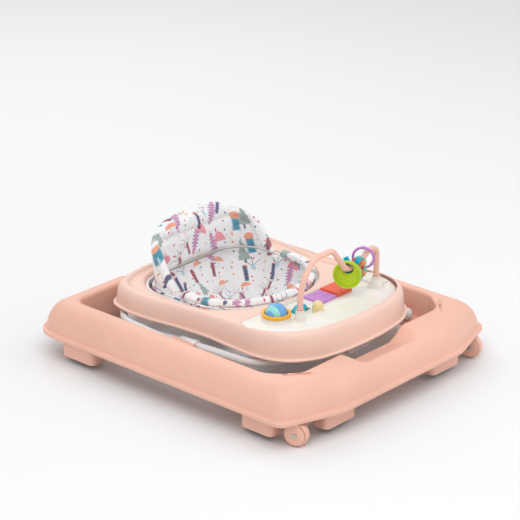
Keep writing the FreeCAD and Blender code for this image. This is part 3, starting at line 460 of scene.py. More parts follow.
def panel_loop(grow):
    """The toy panel's plan: straight along the seat, bowed in front, with rounded ends."""
    rear, side = -0.090 + grow, 0.188 + grow
    shoulder, cheek, flank = (side - 0.016, rear), (side - 0.003, -0.104), (side, -0.140)
    corner, breast = (0.166 + 0.9 * grow, -0.199 - 0.5 * grow), (0.108, -0.2355 - grow)
    nose = (0, -0.248 - grow)

    def mirror(point):
        return (-point[0], point[1])

    points = arc_through(shoulder, cheek, flank, 12) + arc_through(flank, corner, breast, 20)
    points += arc_through(breast, nose, mirror(breast), 40)
    points += arc_through(mirror(breast), mirror(corner), mirror(flank), 20)
    points += arc_through(mirror(flank), mirror(cheek), mirror(shoulder), 12)
    straight = [(-shoulder[0] + 2 * shoulder[0] * cut / 40, rear) for cut in range(40)]
    return np.array(points + straight)


tray_points = []
tray_faces = []


def add_rows(rows):
    """Adds joined rows of points to the tray and gives back where its last row starts."""
    start = len(tray_points)
    for row in rows:
        tray_points.extend(row)
    tray_faces.extend(grid_faces(len(rows), len(rows[0]), start=start))
    return len(tray_points) - len(rows[0])


skirt = [(-0.0032, 0.1080, 0), (-0.0008, 0.1080, 0), (0.0, 0.1086, 0), (0.0, 0.1112, 0), (-0.0006, 0.1119, 0),
         (-0.0034, 0.1122, 0), (-0.0042, 0.1130, 0), (-0.0046, 0.1160, 0), (-0.0062, 0.1260, 0)]
rows = []
for grow, height, _ in skirt:
    plan = tray_loop(grow)
    rows.append(np.column_stack([plan, np.full(len(plan), height)]))
rim_section = [(-0.0075, -0.016), (-0.0090, -0.0095), (-0.0108, -0.0052), (-0.0132, -0.0022),
               (-0.0160, -0.0006),
               (-0.0190, 0.0), (-0.0215, -0.0004), (-0.0235, -0.0018), (-0.0248, -0.0038), (-0.0262, -0.0052),
               (-0.0285, -0.0059), (-0.0320, -0.0060)]
for grow, below in rim_section:
    plan = tray_loop(grow)
    rows.append(np.column_stack([plan, rim_height(plan[:, 1]) + below]))
deck_outer = add_rows(rows)
DECK_DROP = 0.006
mouth_section = [(0.0050, 0.0), (0.0030, -0.0005), (0.0014, -0.0018), (0.0004, -0.0036), (0.0, -0.0060),
                 (0.0, -0.0120), (0.0, -0.0200), (0.0, -0.0280)]
rows = []
for grow, below in mouth_section:
    plan = seat_loop(grow)
    rows.append(np.column_stack([plan, rim_height(plan[:, 1]) - DECK_DROP + below]))
mouth_outer = len(tray_points)
add_rows([row[::-1] for row in rows])
deck_count = len(tray_curve)
loops = (list(range(deck_outer, deck_outer + deck_count)), list(range(mouth_outer, mouth_outer + MOUTH_CUTS)))
flat_points, flat_edges, flat_index = [], [], []
for loop in loops:
    first = len(flat_points)
    flat_points += [Vector(tray_points[index][:2]) for index in loop]
    flat_edges += [(first + step, first + (step + 1) % len(loop)) for step in range(len(loop))]
    flat_index += loop


def inside(loop, point):
    """Whether a point is inside a closed outline."""
    xs, ys = loop[:, 0], loop[:, 1]
    next_x, next_y = np.roll(xs, -1), np.roll(ys, -1)
    crossing = (ys > point[1]) != (next_y > point[1])
    with np.errstate(divide="ignore", invalid="ignore"):
        at = xs + (point[1] - ys) * (next_x - xs) / (next_y - ys)
    return bool(np.sum(crossing & (point[0] < at)) % 2)


deck_edge, mouth_edge = tray_loop(-0.036), seat_loop(0.009)
for x in np.arange(-0.200, 0.201, 0.008):
    for y in np.arange(-0.260, 0.261, 0.008):
        if inside(deck_edge, (x, y)) and not inside(mouth_edge, (x, y)):
            flat_points.append(Vector((float(x), float(y))))
            flat_index.append(len(tray_points))
            tray_points.append((x, y, rim_height(y) - DECK_DROP))
corners, _, triangles, came_from, _, _ = delaunay_2d_cdt(flat_points, flat_edges, [], 0, 1e-7)
deck_edge, mouth_edge = tray_loop(-0.0321), seat_loop(0.0049)
for triangle in triangles:
    middle = sum((corners[corner] for corner in triangle), Vector((0, 0))) / 3
    if inside(deck_edge, middle) and not inside(mouth_edge, middle):
        tray_faces.append([flat_index[came_from[corner][0]] for corner in triangle])
tray_material = moulded("tray_plastic", TRAY_PINK, roughness=0.38, tone=0.04)
tray = new_piece("tray_shell", tray_points, tray_faces, tray_material)
shape = bmesh.new()
shape.from_mesh(tray.data)
bmesh.ops.remove_doubles(shape, verts=shape.verts, dist=1e-6)
bmesh.ops.recalc_face_normals(shape, faces=shape.faces)
if max(shape.faces, key=lambda face: face.calc_center_median().z).normal.z < 0:
    bmesh.ops.reverse_faces(shape, faces=shape.faces)
shape.to_mesh(tray.data)
shape.free()
tray_wall = tray.modifiers.new("wall", "SOLIDIFY")
tray_wall.thickness = 0.0026
tray_wall.offset = -1
apply_modifiers(tray)


def upright_prism(name, plan, low, high):
    """A straight-sided closed block on a plan."""
    count = len(plan)
    points = [(x, y, low) for x, y in plan] + [(x, y, high) for x, y in plan]
    faces = grid_faces(2, count) + [list(range(count))[::-1], list(range(count, 2 * count))]
    return new_piece(name, points, faces, tray_material)


def cut_away(piece, cutter):
    """Cuts one closed mesh out of another and throws the cutter away."""
    cut = piece.modifiers.new("cut", "BOOLEAN")
    cut.operation = "DIFFERENCE"
    cut.solver = "EXACT"
    cut.object = cutter
    apply_modifiers(piece)
    bpy.data.objects.remove(cutter)


POCKET_FLOOR = 0.1372
cut_away(tray, upright_prism("pocket_room", panel_loop(0.0008)[::-1], 0.100, 0.200))
pocket = upright_prism("pocket_tub", panel_loop(0.0032)[::-1], POCKET_FLOOR - 0.0026, 0.1500)
cut_away(pocket, upright_prism("pocket_room", panel_loop(0.0008)[::-1], POCKET_FLOOR, 0.200))
with bpy.context.temp_override(active_object=tray, selected_editable_objects=[tray, pocket]):
    bpy.ops.object.join()
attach(tray, "tray")
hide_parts("tray_top")

# ---------------------------------------------------------------- seat cloth
# The seat's cover is white woven polyester printed with loose watercolour woodland shapes: ferns, firs, logs,
# toadstools, mounds, twiggy trees and berries, scattered upright at about the width of a hand.
CLOTH_WHITE = (0.88, 0.87, 0.87)
MAUVE, PINK, CORAL, ORANGE = (0.46, 0.24, 0.44), (0.82, 0.27, 0.33), (0.85, 0.34, 0.22), (0.86, 0.30, 0.07)
SAGE, NAVY, WINE = (0.33, 0.41, 0.38), (0.065, 0.08, 0.19), (0.30, 0.055, 0.09)
TEAL, BERRY, SKY = (0.04, 0.27, 0.38), (0.70, 0.03, 0.07), (0.42, 0.62, 0.76)


class Field:
    """A number that varies over the cloth, so that a printed shape can be written as a sum."""

    def __init__(self, tree, socket):
        self.tree = tree
        self.socket = socket

    def math(self, operation, *others, clamp=False):
        made = self.tree.nodes.new("ShaderNodeMath")
        made.operation = operation
        made.use_clamp = clamp
        for index, value in enumerate((self, *others)):
            if isinstance(value, Field):
                self.tree.links.new(value.socket, made.inputs[index])
            else:
                made.inputs[index].default_value = value
        return Field(self.tree, made.outputs[0])

    def __add__(self, other):
        return self.math("ADD", other)

    def __sub__(self, other):
        return self.math("SUBTRACT", other)

    def __mul__(self, other):
        return self.math("MULTIPLY", other)

    def least(self, other):
        return self.math("MINIMUM", other)

    def size(self):
        return self.math("ABSOLUTE")

    def wave(self):
        return self.math("SINE")

    def filled(self, sharpness=9.0):
        """1 where the field is above zero and 0 below, with a soft painted edge."""
        return self.math("MULTIPLY_ADD", sharpness, 0.5, clamp=True)


def blob(u, v, across, up, width, height):
    """A painted oval."""
    wide, tall = (u - across) * (1 / width), (v - up) * (1 / height)
    return (wide * wide + tall * tall) * -1.0 + 1.0


def bar(u, v, across, up, width, height):
    """A painted upright strip."""
    return ((u - across).size() * -1.0 + width).least((v - up).size() * -1.0 + height)


def cone(u, v, up, width, height):
    """A painted triangle standing on its base; a negative height points it down."""
    rise = (v - up) * (1 / height)
    return (rise * -width + width - u.size()).least(rise * abs(height))


def fern(u, v):
    leaf = (v * v * -0.40 + 0.36) * ((v * 15.0 + u.size() * 6.0).wave().size() * 0.7 + 0.2) - u.size()
    return [(leaf.filled(14.0), MAUVE), (bar(u, v, 0, 0, 0.025, 0.8).filled(20.0), PINK)]


def fir(u, v):
    tree = cone(u + (v * 16.0).wave() * 0.03, v, -0.55, 0.36, 1.3)
    return [(tree.filled(14.0), SAGE), (bar(u, v, 0, -0.7, 0.05, 0.18).filled(14.0), NAVY)]


def log(u, v):
    return [(bar(u, v, 0, 0, 0.12, 0.62).filled(14.0), NAVY),
            (blob(u, v, 0, 0.62, 0.13, 0.06).filled(6.0), CORAL)]


def fallen_log(u, v):
    return [(bar(u, v, 0, 0, 0.13, 0.55).filled(14.0), WINE),
            (blob(u, v, 0.14, 0.2, 0.12, 0.05).filled(6.0), PINK)]


def mound(u, v):
    hill = blob(u, v, 0, -0.2, 0.46, 0.6).least((v + 0.2) * 4.0)
    return [(hill.filled(6.0), PINK)]


def toadstool(u, v):
    cap = blob(u, v, 0, 0.1, 0.34, 0.36).least((v - 0.1) * 4.0)
    return [(cap.filled(6.0), CORAL), (bar(u, v, 0, -0.2, 0.03, 0.3).filled(18.0), SKY)]


def twiggy_tree(u, v):
    reach = (u * u + v * v).math("SQRT")
    lean = u.math("ARCTAN2", v)
    twigs = ((lean * 7.0 + (reach * 9.0).wave() * 0.8).wave().size() * reach * -1.0 + 0.10)
    crown = twigs.least(reach * -1.0 + 0.72).least(lean.size() * -1.0 + 1.15)
    return [(crown.filled(22.0), WINE), (bar(u, v, 0, -0.35, 0.09, 0.38).filled(14.0), WINE)]


def teal_stump(u, v):
    return [(bar(u, v, 0, -0.15, 0.2, 0.42).filled(9.0), TEAL),
            (blob(u, v, 0, 0.36, 0.28, 0.22).filled(6.0), CORAL)]


def sprig(u, v):
    reach = (u * u + v * v).math("SQRT")
    lean = u.math("ARCTAN2", v)
    spray = ((lean * 4.0).wave().size() * reach * -1.0 + 0.07).least(reach * -1.0 + 0.6)
    return [(spray.least(lean.size() * -1.0 + 1.5).filled(20.0), NAVY),
            (blob(u, v, 0, -0.1, 0.13, 0.2).filled(6.0), SKY)]


def berry(u, v):
    return [(blob(u, v, 0, 0, 0.22, 0.26).filled(5.0), BERRY)]


def seed(u, v):
    return [(cone(u, v, 0.25, 0.34, -0.6).filled(14.0), ORANGE)]


def bud(u, v):
    return [(blob(u, v, 0, 0, 0.2, 0.3).filled(5.0), TEAL)]


def stalk(u, v):
    return [(bar(u, v, 0, 0, 0.04, 0.4).filled(16.0), CORAL),
            (blob(u, v, 0, 0.4, 0.24, 0.16).filled(6.0), PINK)]


def printed_cloth():
    """The seat cover's material: the print in layers over white, a fine weave and a soft sheen."""
    material, shader = blank_material("seat_cloth", CLOTH_WHITE, 0.85)
    shader.inputs["Sheen Weight"].default_value = 0.25
    shader.inputs["Sheen Roughness"].default_value = 0.5
    tree = material.node_tree
    flat = add_node(material, "ShaderNodeUVMap", uv_map="cloth")
    wash = add_node(material, "ShaderNodeTexNoise", Scale=260.0, Detail=3.0)
    join(material, flat.outputs["UV"], wash.inputs["Vector"])
    strength = Field(tree, wash.outputs["Fac"]) * 1.1 + 0.40
    tone = add_node(material, "ShaderNodeMapRange", From_Min=0.25, From_Max=0.75, To_Min=0.82, To_Max=0.90)
    join(material, wash.outputs["Fac"], tone.inputs["Value"])
    ground = add_node(material, "ShaderNodeCombineColor")
    for channel in ("Red", "Green", "Blue"):
        join(material, tone.outputs["Result"], ground.inputs[channel])
    colour = ground.outputs["Color"]
    layers = ((0.021, 0.85, (0.3, 0.1), (berry, seed, bud, stalk, berry)),
              (0.058, 0.45, (0.0, 0.0), (fern, fir, log, mound, toadstool, twiggy_tree, teal_stump, sprig)),
              (0.062, 0.45, (0.023, 0.031), (toadstool, teal_stump, fern, fallen_log, twiggy_tree, fir, log)))
    for pitch, looseness, shift, motifs in layers:
        slide = add_node(material, "ShaderNodeMapping", Location=(shift[0], shift[1], 0))
        join(material, flat.outputs["UV"], slide.inputs["Vector"])
        cells = add_node(material, "ShaderNodeTexVoronoi", voronoi_dimensions="2D", Scale=1 / pitch,
                         Randomness=looseness)
        join(material, slide.outputs["Vector"], cells.inputs["Vector"])
        local = add_node(material, "ShaderNodeVectorMath", operation="SUBTRACT")
        join(material, slide.outputs["Vector"], local.inputs[0])
        join(material, cells.outputs["Position"], local.inputs[1])
        turned = add_node(material, "ShaderNodeVectorRotate", rotation_type="Z_AXIS")
        join(material, local.outputs["Vector"], turned.inputs["Vector"])
        chance = add_node(material, "ShaderNodeSeparateColor")
        join(material, cells.outputs["Color"], chance.inputs["Color"])
        tilt = (Field(tree, chance.outputs["Green"]) - 0.5) * 0.9
        join(material, tilt.socket, turned.inputs["Angle"])
        split = add_node(material, "ShaderNodeSeparateXYZ")
        join(material, turned.outputs["Vector"], split.inputs["Vector"])
        u = Field(tree, split.outputs["X"]) * ((2.1 if pitch < 0.03 else 1.65) / pitch)
        v = Field(tree, split.outputs["Y"]) * ((2.1 if pitch < 0.03 else 1.65) / pitch)
        pick = Field(tree, chance.outputs["Red"])
        share = 1 / (len(motifs) + (2 if pitch < 0.03 else 0))
        for index, motif in enumerate(motifs):
            chosen = pick.math("COMPARE", share * (index + 0.5), share / 2)
            for shape_mask, paint in motif(u, v):
                cover = (shape_mask * chosen).math("MULTIPLY", strength, clamp=True)
                layer = add_node(material, "ShaderNodeMix", data_type="RGBA")
                layer.inputs[7].default_value = (*paint, 1)
                join(material, cover.socket, layer.inputs[0])
                join(material, colour, layer.inputs[6])
                colour = layer.outputs[2]
    join(material, colour, shader.inputs["Base Color"])
    weave = add_node(material, "ShaderNodeTexChecker", Scale=1600.0)
    join(material, flat.outputs["UV"], weave.inputs["Vector"])
    creases = add_node(material, "ShaderNodeTexNoise", Scale=26.0, Detail=4.0)
    join(material, flat.outputs["UV"], creases.inputs["Vector"])
    threads = add_node(material, "ShaderNodeBump", Strength=0.25, Distance=0.0002)
    join(material, weave.outputs["Fac"], threads.inputs["Height"])
    wrinkles = add_node(material, "ShaderNodeBump", Strength=0.55, Distance=0.004)
    join(material, creases.outputs["Fac"], wrinkles.inputs["Height"])
    join(material, threads.outputs["Normal"], wrinkles.inputs["Normal"])
    join(material, wrinkles.outputs["Normal"], shader.inputs["Normal"])
    return material


seat_cloth = printed_cloth()
WRAP_RADIUS = 0.150


def lay_print(piece, facing=1):
    """Lays the cloth's print round the seat: facing 1 puts its join in front and -1 behind."""
    mesh = piece.data
    layer = mesh.uv_layers.new(name="cloth")
    points = np.empty(len(mesh.vertices) * 3)
    mesh.vertices.foreach_get("co", points)
    points = points.reshape(-1, 3)
    across, along = points[:, 0], (points[:, 1] - SEAT_Y) * facing
    turn = np.arctan2(across, along)
    up = points[:, 2] + np.hypot(across, along) - WRAP_RADIUS
    for polygon in mesh.polygons:
        angles = turn[list(polygon.vertices)]
        if angles.max() - angles.min() > math.pi:
            angles = np.where(angles < 0, angles + 2 * math.pi, angles)
        for loop, vertex, angle in zip(polygon.loop_indices, polygon.vertices, angles):
            layer.data[loop].uv = (angle * WRAP_RADIUS, up[vertex])


CLOTH_PRESSURE = 4.0
CLOTH_STEPS = 20


def shift_out(piece, distance):
    """Moves every point of a piece out along its normal, or in when the distance is below zero."""
    normals = [entry.vector.copy() for entry in piece.data.vertex_normals]
    for vertex, normal in zip(piece.data.vertices, normals):
        vertex.co += normal * distance


def plumped(name, node, voxel, draw_in, limit):
    """A padded piece: the CAD solid's copy remeshed, drawn in a little, then blown up as cloth."""
    piece = merged_copy(node, name, seat_cloth)
    remesh = piece.modifiers.new("remesh", "REMESH")
    remesh.mode = "VOXEL"
    remesh.voxel_size = voxel
    smooth = piece.modifiers.new("smooth", "SMOOTH")
    smooth.iterations = 6
    apply_modifiers(piece)
    shift_out(piece, -draw_in)
    before = np.empty(len(piece.data.vertices) * 3)
    piece.data.vertices.foreach_get("co", before)
    before = before.reshape(-1, 3)
    cloth = piece.modifiers.new("cloth", "CLOTH")
    cloth.settings.use_pressure = True
    cloth.settings.uniform_pressure_force = CLOTH_PRESSURE
    cloth.settings.quality = 5
    cloth.settings.mass = 0.3
    cloth.settings.effector_weights.gravity = 0
    for step in range(1, CLOTH_STEPS + 1):
        bpy.context.scene.frame_set(step)
    moved = bpy.data.meshes.new_from_object(piece.evaluated_get(bpy.context.evaluated_depsgraph_get()))
    after = np.empty(len(moved.vertices) * 3)
    moved.vertices.foreach_get("co", after)
    shift = after.reshape(-1, 3) - before
    far = np.linalg.norm(shift, axis=1, keepdims=True)
    capped = before + shift * np.minimum(1, limit / np.maximum(far, 1e-9))
    piece.modifiers.clear()
    piece.data.vertices.foreach_set("co", capped.ravel())
    bpy.data.meshes.remove(moved)
    bpy.context.scene.frame_set(1)
    rounder = piece.modifiers.new("rounder", "SUBSURF")
    rounder.levels = rounder.render_levels = 1
    apply_modifiers(piece)
    stand_for(piece, node)
    return piece


def press_seams(piece, distance, depth, width):
    """Presses a sewn seam into a pad, where distance gives how far a point is from the seam."""
    normals = [entry.vector.copy() for entry in piece.data.vertex_normals]
    for vertex, normal in zip(piece.data.vertices, normals):
        away = distance(vertex.co, normal)
        if away < width * 3:
            vertex.co -= normal * depth * math.exp(-(away / width) ** 2)
    piece.data.shade_smooth()


# ---------------------------------------------------------------- seat
# A sewn pouch hangs from a plastic rim, with a padded roll round its front edge and a tall wrapped backrest
# stuffed over a board. The pouch has two leg holes; its panels meet at upright sewn seams.
POUCH_SEAMS = (-150, -100, -48, -12, 24, 62, 100, 150)
BACK_TOP = 0.283
BACK_ARCH = 0.215
BORDER = 0.026
WING_CENTRE = Vector((0.4303, -0.0056))
WING_RADIUS = 0.361
plain_board = moulded("liner_board", (0.62, 0.55, 0.42), roughness=0.8, tone=0.15)
for slot in frame["nodes"]["back_board"].material_slots:
    slot.material = plain_board
finished("seat_rim", white_plastic, edge=0.0008)


def pouch_seam_distance(point, normal):
    turn = math.atan2(point.x, point.y - SEAT_Y)
    reach = math.hypot(point.x, point.y - SEAT_Y)
    nearest = min(abs(math.remainder(turn - math.radians(seam), 2 * math.pi)) for seam in POUCH_SEAMS)
    return nearest * reach if reach > 0.05 else 1.0


def inside_back_edge(point):
    """How far a point on the back is in from the back's outline."""
    under_arch = BACK_ARCH - math.hypot(point.x, point.z - BACK_TOP + BACK_ARCH)
    behind_wing = WING_RADIUS - (Vector((point.y, point.z)) - WING_CENTRE).length
    return min(under_arch, behind_wing)


def back_seam_distance(point, normal):
    return abs(inside_back_edge(point) - BORDER)


pouch = plumped("seat_pouch", "seat_bucket", 0.0035, 0.0008, 0.0016)
for vertex in pouch.data.vertices:
    turn = math.atan2(vertex.co.x, vertex.co.y - SEAT_Y)
    depth = min(1.0, max(0.0, (0.140 - vertex.co.z) / 0.05))
    ripple = math.sin(turn * 9 + vertex.co.z * 40) + 0.7 * math.sin(turn * 17 - vertex.co.z * 70)
    draw = 1 - 0.012 * depth * (ripple + 1.7) / 2
    vertex.co.x *= draw
    vertex.co.y = SEAT_Y + (vertex.co.y - SEAT_Y) * draw
press_seams(pouch, pouch_seam_distance, 0.0016, 0.0035)
lay_print(pouch)
edge_roll = plumped("rolled_edge", "seat_edge_roll", 0.0040, 0.0, 0.0060)
lay_print(edge_roll, facing=-1)
backrest = plumped("backrest", "backrest_pad", 0.0050, 0.0050, 0.0090)
press_seams(backrest, back_seam_distance, 0.0040, 0.0035)
lay_print(backrest)

# ---------------------------------------------------------------- seams and stitches
# The back's border and the pouch's upright seams are top-stitched in white thread, each stitch a short
# rounded length lying along the seam.
THREAD_WHITE = (0.80, 0.79, 0.76)
thread, thread_shader = blank_material("thread", THREAD_WHITE, 0.7)
twist = add_node(thread, "ShaderNodeTexWave", Scale=900.0, Distortion=1.0)
twist_bump = add_node(thread, "ShaderNodeBump", Strength=0.4, Distance=0.0002)
join(thread, add_node(thread, "ShaderNodeTexCoord").outputs["Object"], twist.inputs["Vector"])
join(thread, twist.outputs["Fac"], twist_bump.inputs["Height"])
join(thread, twist_bump.outputs["Normal"], thread_shader.inputs["Normal"])


def stitch_tree():
    """Geometry nodes that lay stitches along a seam's line."""
    tree = bpy.data.node_groups.new("stitches", "GeometryNodeTree")
    face = tree.interface
    face.new_socket("Seam", in_out="INPUT", socket_type="NodeSocketGeometry")
    sizes = {}
    for name, value in (("Spacing", 0.0042), ("Stitch length", 0.0028), ("Thread radius", 0.00045)):
        socket = face.new_socket(name, in_out="INPUT", socket_type="NodeSocketFloat")
        socket.default_value = value
        sizes[name] = socket.identifier
    face.new_socket("Stitches", in_out="OUTPUT", socket_type="NodeSocketGeometry")
    nodes, links = tree.nodes, tree.links
    inlet, outlet = nodes.new("NodeGroupInput"), nodes.new("NodeGroupOutput")
    line = nodes.new("GeometryNodeMeshToCurve")
    even = nodes.new("GeometryNodeResampleCurve")
    even.mode = "LENGTH"
    tangent = nodes.new("GeometryNodeInputTangent")
    align = nodes.new("FunctionNodeAlignRotationToVector")
    align.axis = "Z"
    stitch = nodes.new("GeometryNodeMeshUVSphere")
    stitch.inputs["Segments"].default_value = 6
    stitch.inputs["Rings"].default_value = 5
    stitch.inputs["Radius"].default_value = 1.0
    size = nodes.new("ShaderNodeCombineXYZ")
    half = nodes.new("ShaderNodeMath")
    half.operation = "MULTIPLY"
    half.inputs[1].default_value = 0.5
    place = nodes.new("GeometryNodeInstanceOnPoints")
    real = nodes.new("GeometryNodeRealizeInstances")
    paint = nodes.new("GeometryNodeSetMaterial")
    paint.inputs["Material"].default_value = thread
    for source, result, target, entry in (
            (inlet, "Seam", line, "Mesh"), (line, "Curve", even, "Curve"), (inlet, "Spacing", even, "Length"),
            (tangent, "Tangent", align, "Vector"), (inlet, "Stitch length", half, 0),
            (inlet, "Thread radius", size, "X"), (inlet, "Thread radius", size, "Y"), (half, 0, size, "Z"),
            (even, "Curve", place, "Points"), (stitch, "Mesh", place, "Instance"),
            (align, "Rotation", place, "Rotation"), (size, "Vector", place, "Scale"),
            (place, "Instances", real, "Geometry"), (real, "Geometry", paint, "Geometry"),
            (paint, "Geometry", outlet, "Stitches")):
        links.new(source.outputs[result], target.inputs[entry])
    return tree, sizes


stitches, stitch_sizes = stitch_tree()


def sew(name, runs, pad, body, spacing=0.0042):
    """Stitches along runs of points, each first dropped on to a pad's surface."""
    points, edges = [], []
    for run in runs:
        kept = []
        for point, direction in run:
            hit, where, normal, _ = pad.ray_cast(point, direction)
            if hit:
                kept.append(where + normal * 0.0002)
        edges += [(len(points) + step, len(points) + step + 1) for step in range(len(kept) - 1)]
        points += kept
    mesh = bpy.data.meshes.new(name)
    mesh.from_pydata([tuple(point) for point in points], edges, [])
    piece = bpy.data.objects.new(name, mesh)
    bpy.context.scene.collection.objects.link(piece)
    sewing = piece.modifiers.new("stitches", "NODES")
    sewing.node_group = stitches
    sewing[stitch_sizes["Spacing"]] = spacing
    apply_modifiers(piece)
    piece.data.shade_smooth()
    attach(piece, body)
    return piece


def border_run(shift):
    """Rays from inside the seat out on to the back's inner face, along its border seam."""
    run = []
    for step in range(-60, 61):
        turn = math.radians(step * 1.9)
        outward = Vector((math.sin(turn), math.cos(turn), 0))
        start = Vector((0, 0.090, 0))
        for height in np.arange(BACK_TOP, 0.155, -0.0005):
            start.z = height
            hit, where, normal, _ = backrest.ray_cast(start, outward)
            if hit and inside_back_edge(where) > BORDER + shift:
                run.append((start.copy(), outward))
                break
    return run


sew("back_stitches", [border_run(0.0045)], backrest, "tray")
pouch_runs = []
for seam in POUCH_SEAMS:
    for beside in (-0.004, 0.004):
        turn = math.radians(seam) + beside / 0.14
        outward = Vector((math.sin(turn), math.cos(turn), 0))
        pouch_runs.append([(Vector((0, SEAT_Y, height)), outward)
                           for height in np.linspace(0.142, 0.080, 26)])
sew("pouch_stitches", pouch_runs, pouch, "tray", spacing=0.0036)

# ---------------------------------------------------------------- toy panel
# A glossy cream moulding drops into the tray's pocket: a dished channel under the arch, a raised cup for the
# ball and two bosses for the arch's feet, with a bottom cover and a battery door underneath.
CREAM = (0.86, 0.83, 0.76)
cream = moulded("cream_plastic", CREAM, roughness=0.26, grain=1100.0, relief=0.04, tone=0.03)
finished("toy_panel", cream, edge=0.0015)
finished("panel_bottom_cover", cream, edge=0.0008)
finished("battery_door", cream, edge=0.0006)
circuit_green = moulded("circuit", (0.02, 0.16, 0.06), roughness=0.5, tone=0.3)
for node in ("sound_board", "speaker"):
    for slot in frame["nodes"][node].material_slots:
        slot.material = circuit_green

# ---------------------------------------------------------------- ball, rocker, button and keys
# The striped ball spins in its cup, ringed in yellow. Beside it are a rocking turquoise key, a domed push
# button, and two sound keys, one ribbed in arcs and one dotted for small fingers.
YELLOW_ORANGE = (0.96, 0.47, 0.01)
BALL_BLUE, BALL_MINT, BALL_LINE = (0.16, 0.42, 0.80), (0.30, 0.74, 0.68), (0.05, 0.20, 0.55)
TURQUOISE = (0.0, 0.46, 0.60)
HONEY = (0.92, 0.75, 0.36)
PURPLE, RED_ORANGE = (0.60, 0.26, 0.66), (0.92, 0.12, 0.05)
BALL_STRIPES = ((0.0, BALL_BLUE), (0.08, BALL_MINT), (0.30, BALL_LINE), (0.32, BALL_BLUE),
                (0.66, BALL_LINE), (0.68, BALL_BLUE))
gold = moulded("yellow_orange", YELLOW_ORANGE, roughness=0.25, grain=1100.0, relief=0.04, tone=0.05)
finished("ball_ring", gold, edge=0.0018)
ball_low, ball_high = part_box("spin_ball")
ball_centre = Vector(((ball_low.x + ball_high.x) / 2, (ball_low.y + ball_high.y) / 2,
                      (ball_low.z + ball_high.z) / 2))
ball_paint = moulded("ball_paint", BALL_BLUE, roughness=0.18, grain=1100.0, relief=0.03)
ball_place = add_node(ball_paint, "ShaderNodeTexCoord")
ball_map = add_node(ball_paint, "ShaderNodeMapping", Location=tuple(-ball_centre))
ball_split = add_node(ball_paint, "ShaderNodeSeparateXYZ")
ball_bands = add_node(ball_paint, "ShaderNodeMapRange", From_Min=-0.022, From_Max=0.022)
ball_ramp = add_node(ball_paint, "ShaderNodeValToRGB")
ball_ramp.color_ramp.interpolation = "CONSTANT"
ball_stops = ball_ramp.color_ramp.elements
for position, paint in BALL_STRIPES:
    stop = ball_stops[0] if position == 0.0 else ball_stops.new(position)
    stop.color = (*paint, 1)
ball_stops.remove(ball_stops[-1])
join(ball_paint, ball_place.outputs["Object"], ball_map.inputs["Vector"])
join(ball_paint, ball_map.outputs["Vector"], ball_split.inputs["Vector"])
join(ball_paint, ball_split.outputs["X"], ball_bands.inputs["Value"])
join(ball_paint, ball_bands.outputs["Result"], ball_ramp.inputs["Fac"])
join(ball_paint, ball_ramp.outputs["Color"],
     ball_paint.node_tree.nodes["Principled BSDF"].inputs["Base Color"])
finished("spin_ball", ball_paint, smooth_angle=50)
turquoise = moulded("turquoise", TURQUOISE, roughness=0.25, grain=1100.0, relief=0.04)
finished("rocker_key", turquoise, edge=0.0016)
honey = moulded("honey_dome", HONEY, roughness=0.12, grain=1100.0, relief=0.03)
finished("dome_button", honey, smooth_angle=45)
for slot in frame["nodes"]["button_return_pad"].material_slots:
    slot.material = pad_rubber


KEY_RELIEF = 0.0012


def raised_key(node, name, material, relief, pitch=0.0009, corner=0.0030):
    """A sound key: a block with a rounded top edge, its face raised by the relief at each place."""
    low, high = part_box(node)
    across = max(4, int((high.x - low.x) / pitch))
    along = max(4, int((high.y - low.y) / pitch))
    top = {}
    points = []
    for row in range(along + 1):
        for column in range(across + 1):
            x = low.x + (high.x - low.x) * column / across
            y = low.y + (high.y - low.y) * row / along
            margin = min(x - low.x, high.x - x, y - low.y, high.y - y)
            drop = corner - math.sqrt(max(0.0, corner ** 2 - max(0.0, corner - margin) ** 2))
            fade = min(1.0, max(0.0, margin - corner) / corner)
            top[row, column] = len(points)
            raised = fade * relief(x - (low.x + high.x) / 2, y - low.y)
            points.append((x, y, high.z - KEY_RELIEF - drop + raised))
    faces = [(top[row, column], top[row, column + 1], top[row + 1, column + 1], top[row + 1, column])
             for row in range(along) for column in range(across)]
    border = [(0, column) for column in range(across)] + [(row, across) for row in range(along)]
    border += [(along, column) for column in range(across, 0, -1)] + [(row, 0) for row in range(along, 0, -1)]
    foot = len(points)
    points += [(points[top[spot]][0], points[top[spot]][1], low.z) for spot in border]
    count = len(border)
    faces += [(top[border[step]], foot + step, foot + (step + 1) % count, top[border[(step + 1) % count]])
              for step in range(count)]
    faces.append([foot + step for step in range(count)][::-1])
    piece = new_piece(name, points, faces, material)
    shape = bmesh.new()
    shape.from_mesh(piece.data)
    bmesh.ops.recalc_face_normals(shape, faces=shape.faces)
    shape.to_mesh(piece.data)
    shape.free()
    piece.data.set_sharp_from_angle(angle=math.radians(50))
    stand_for(piece, node)
    return piece


def arc_ribs(x, y):
    """Ribs in arcs round the key's near edge."""
    return KEY_RELIEF * (0.5 + 0.5 * math.sin(math.hypot(x, y + 0.012) * 2 * math.pi / 0.0062)) ** 2


def finger_dots(x, y):
    """Round dots in staggered rows."""
    row = round(y / 0.009)
    offset = 0.0045 if row % 2 else 0.0
    away = math.hypot(math.remainder(x - offset, 0.009), y - row * 0.009)
    return KEY_RELIEF * max(0.0, 1 - (away / 0.0026) ** 2)


purple = moulded("purple", PURPLE, roughness=0.28, grain=1100.0, relief=0.04)
red_orange = moulded("red_orange", RED_ORANGE, roughness=0.3, grain=1100.0, relief=0.04)
raised_key("purple_key", "purple_key_cap", purple, arc_ribs)
raised_key("red_key", "red_key_cap", red_orange, finger_dots)

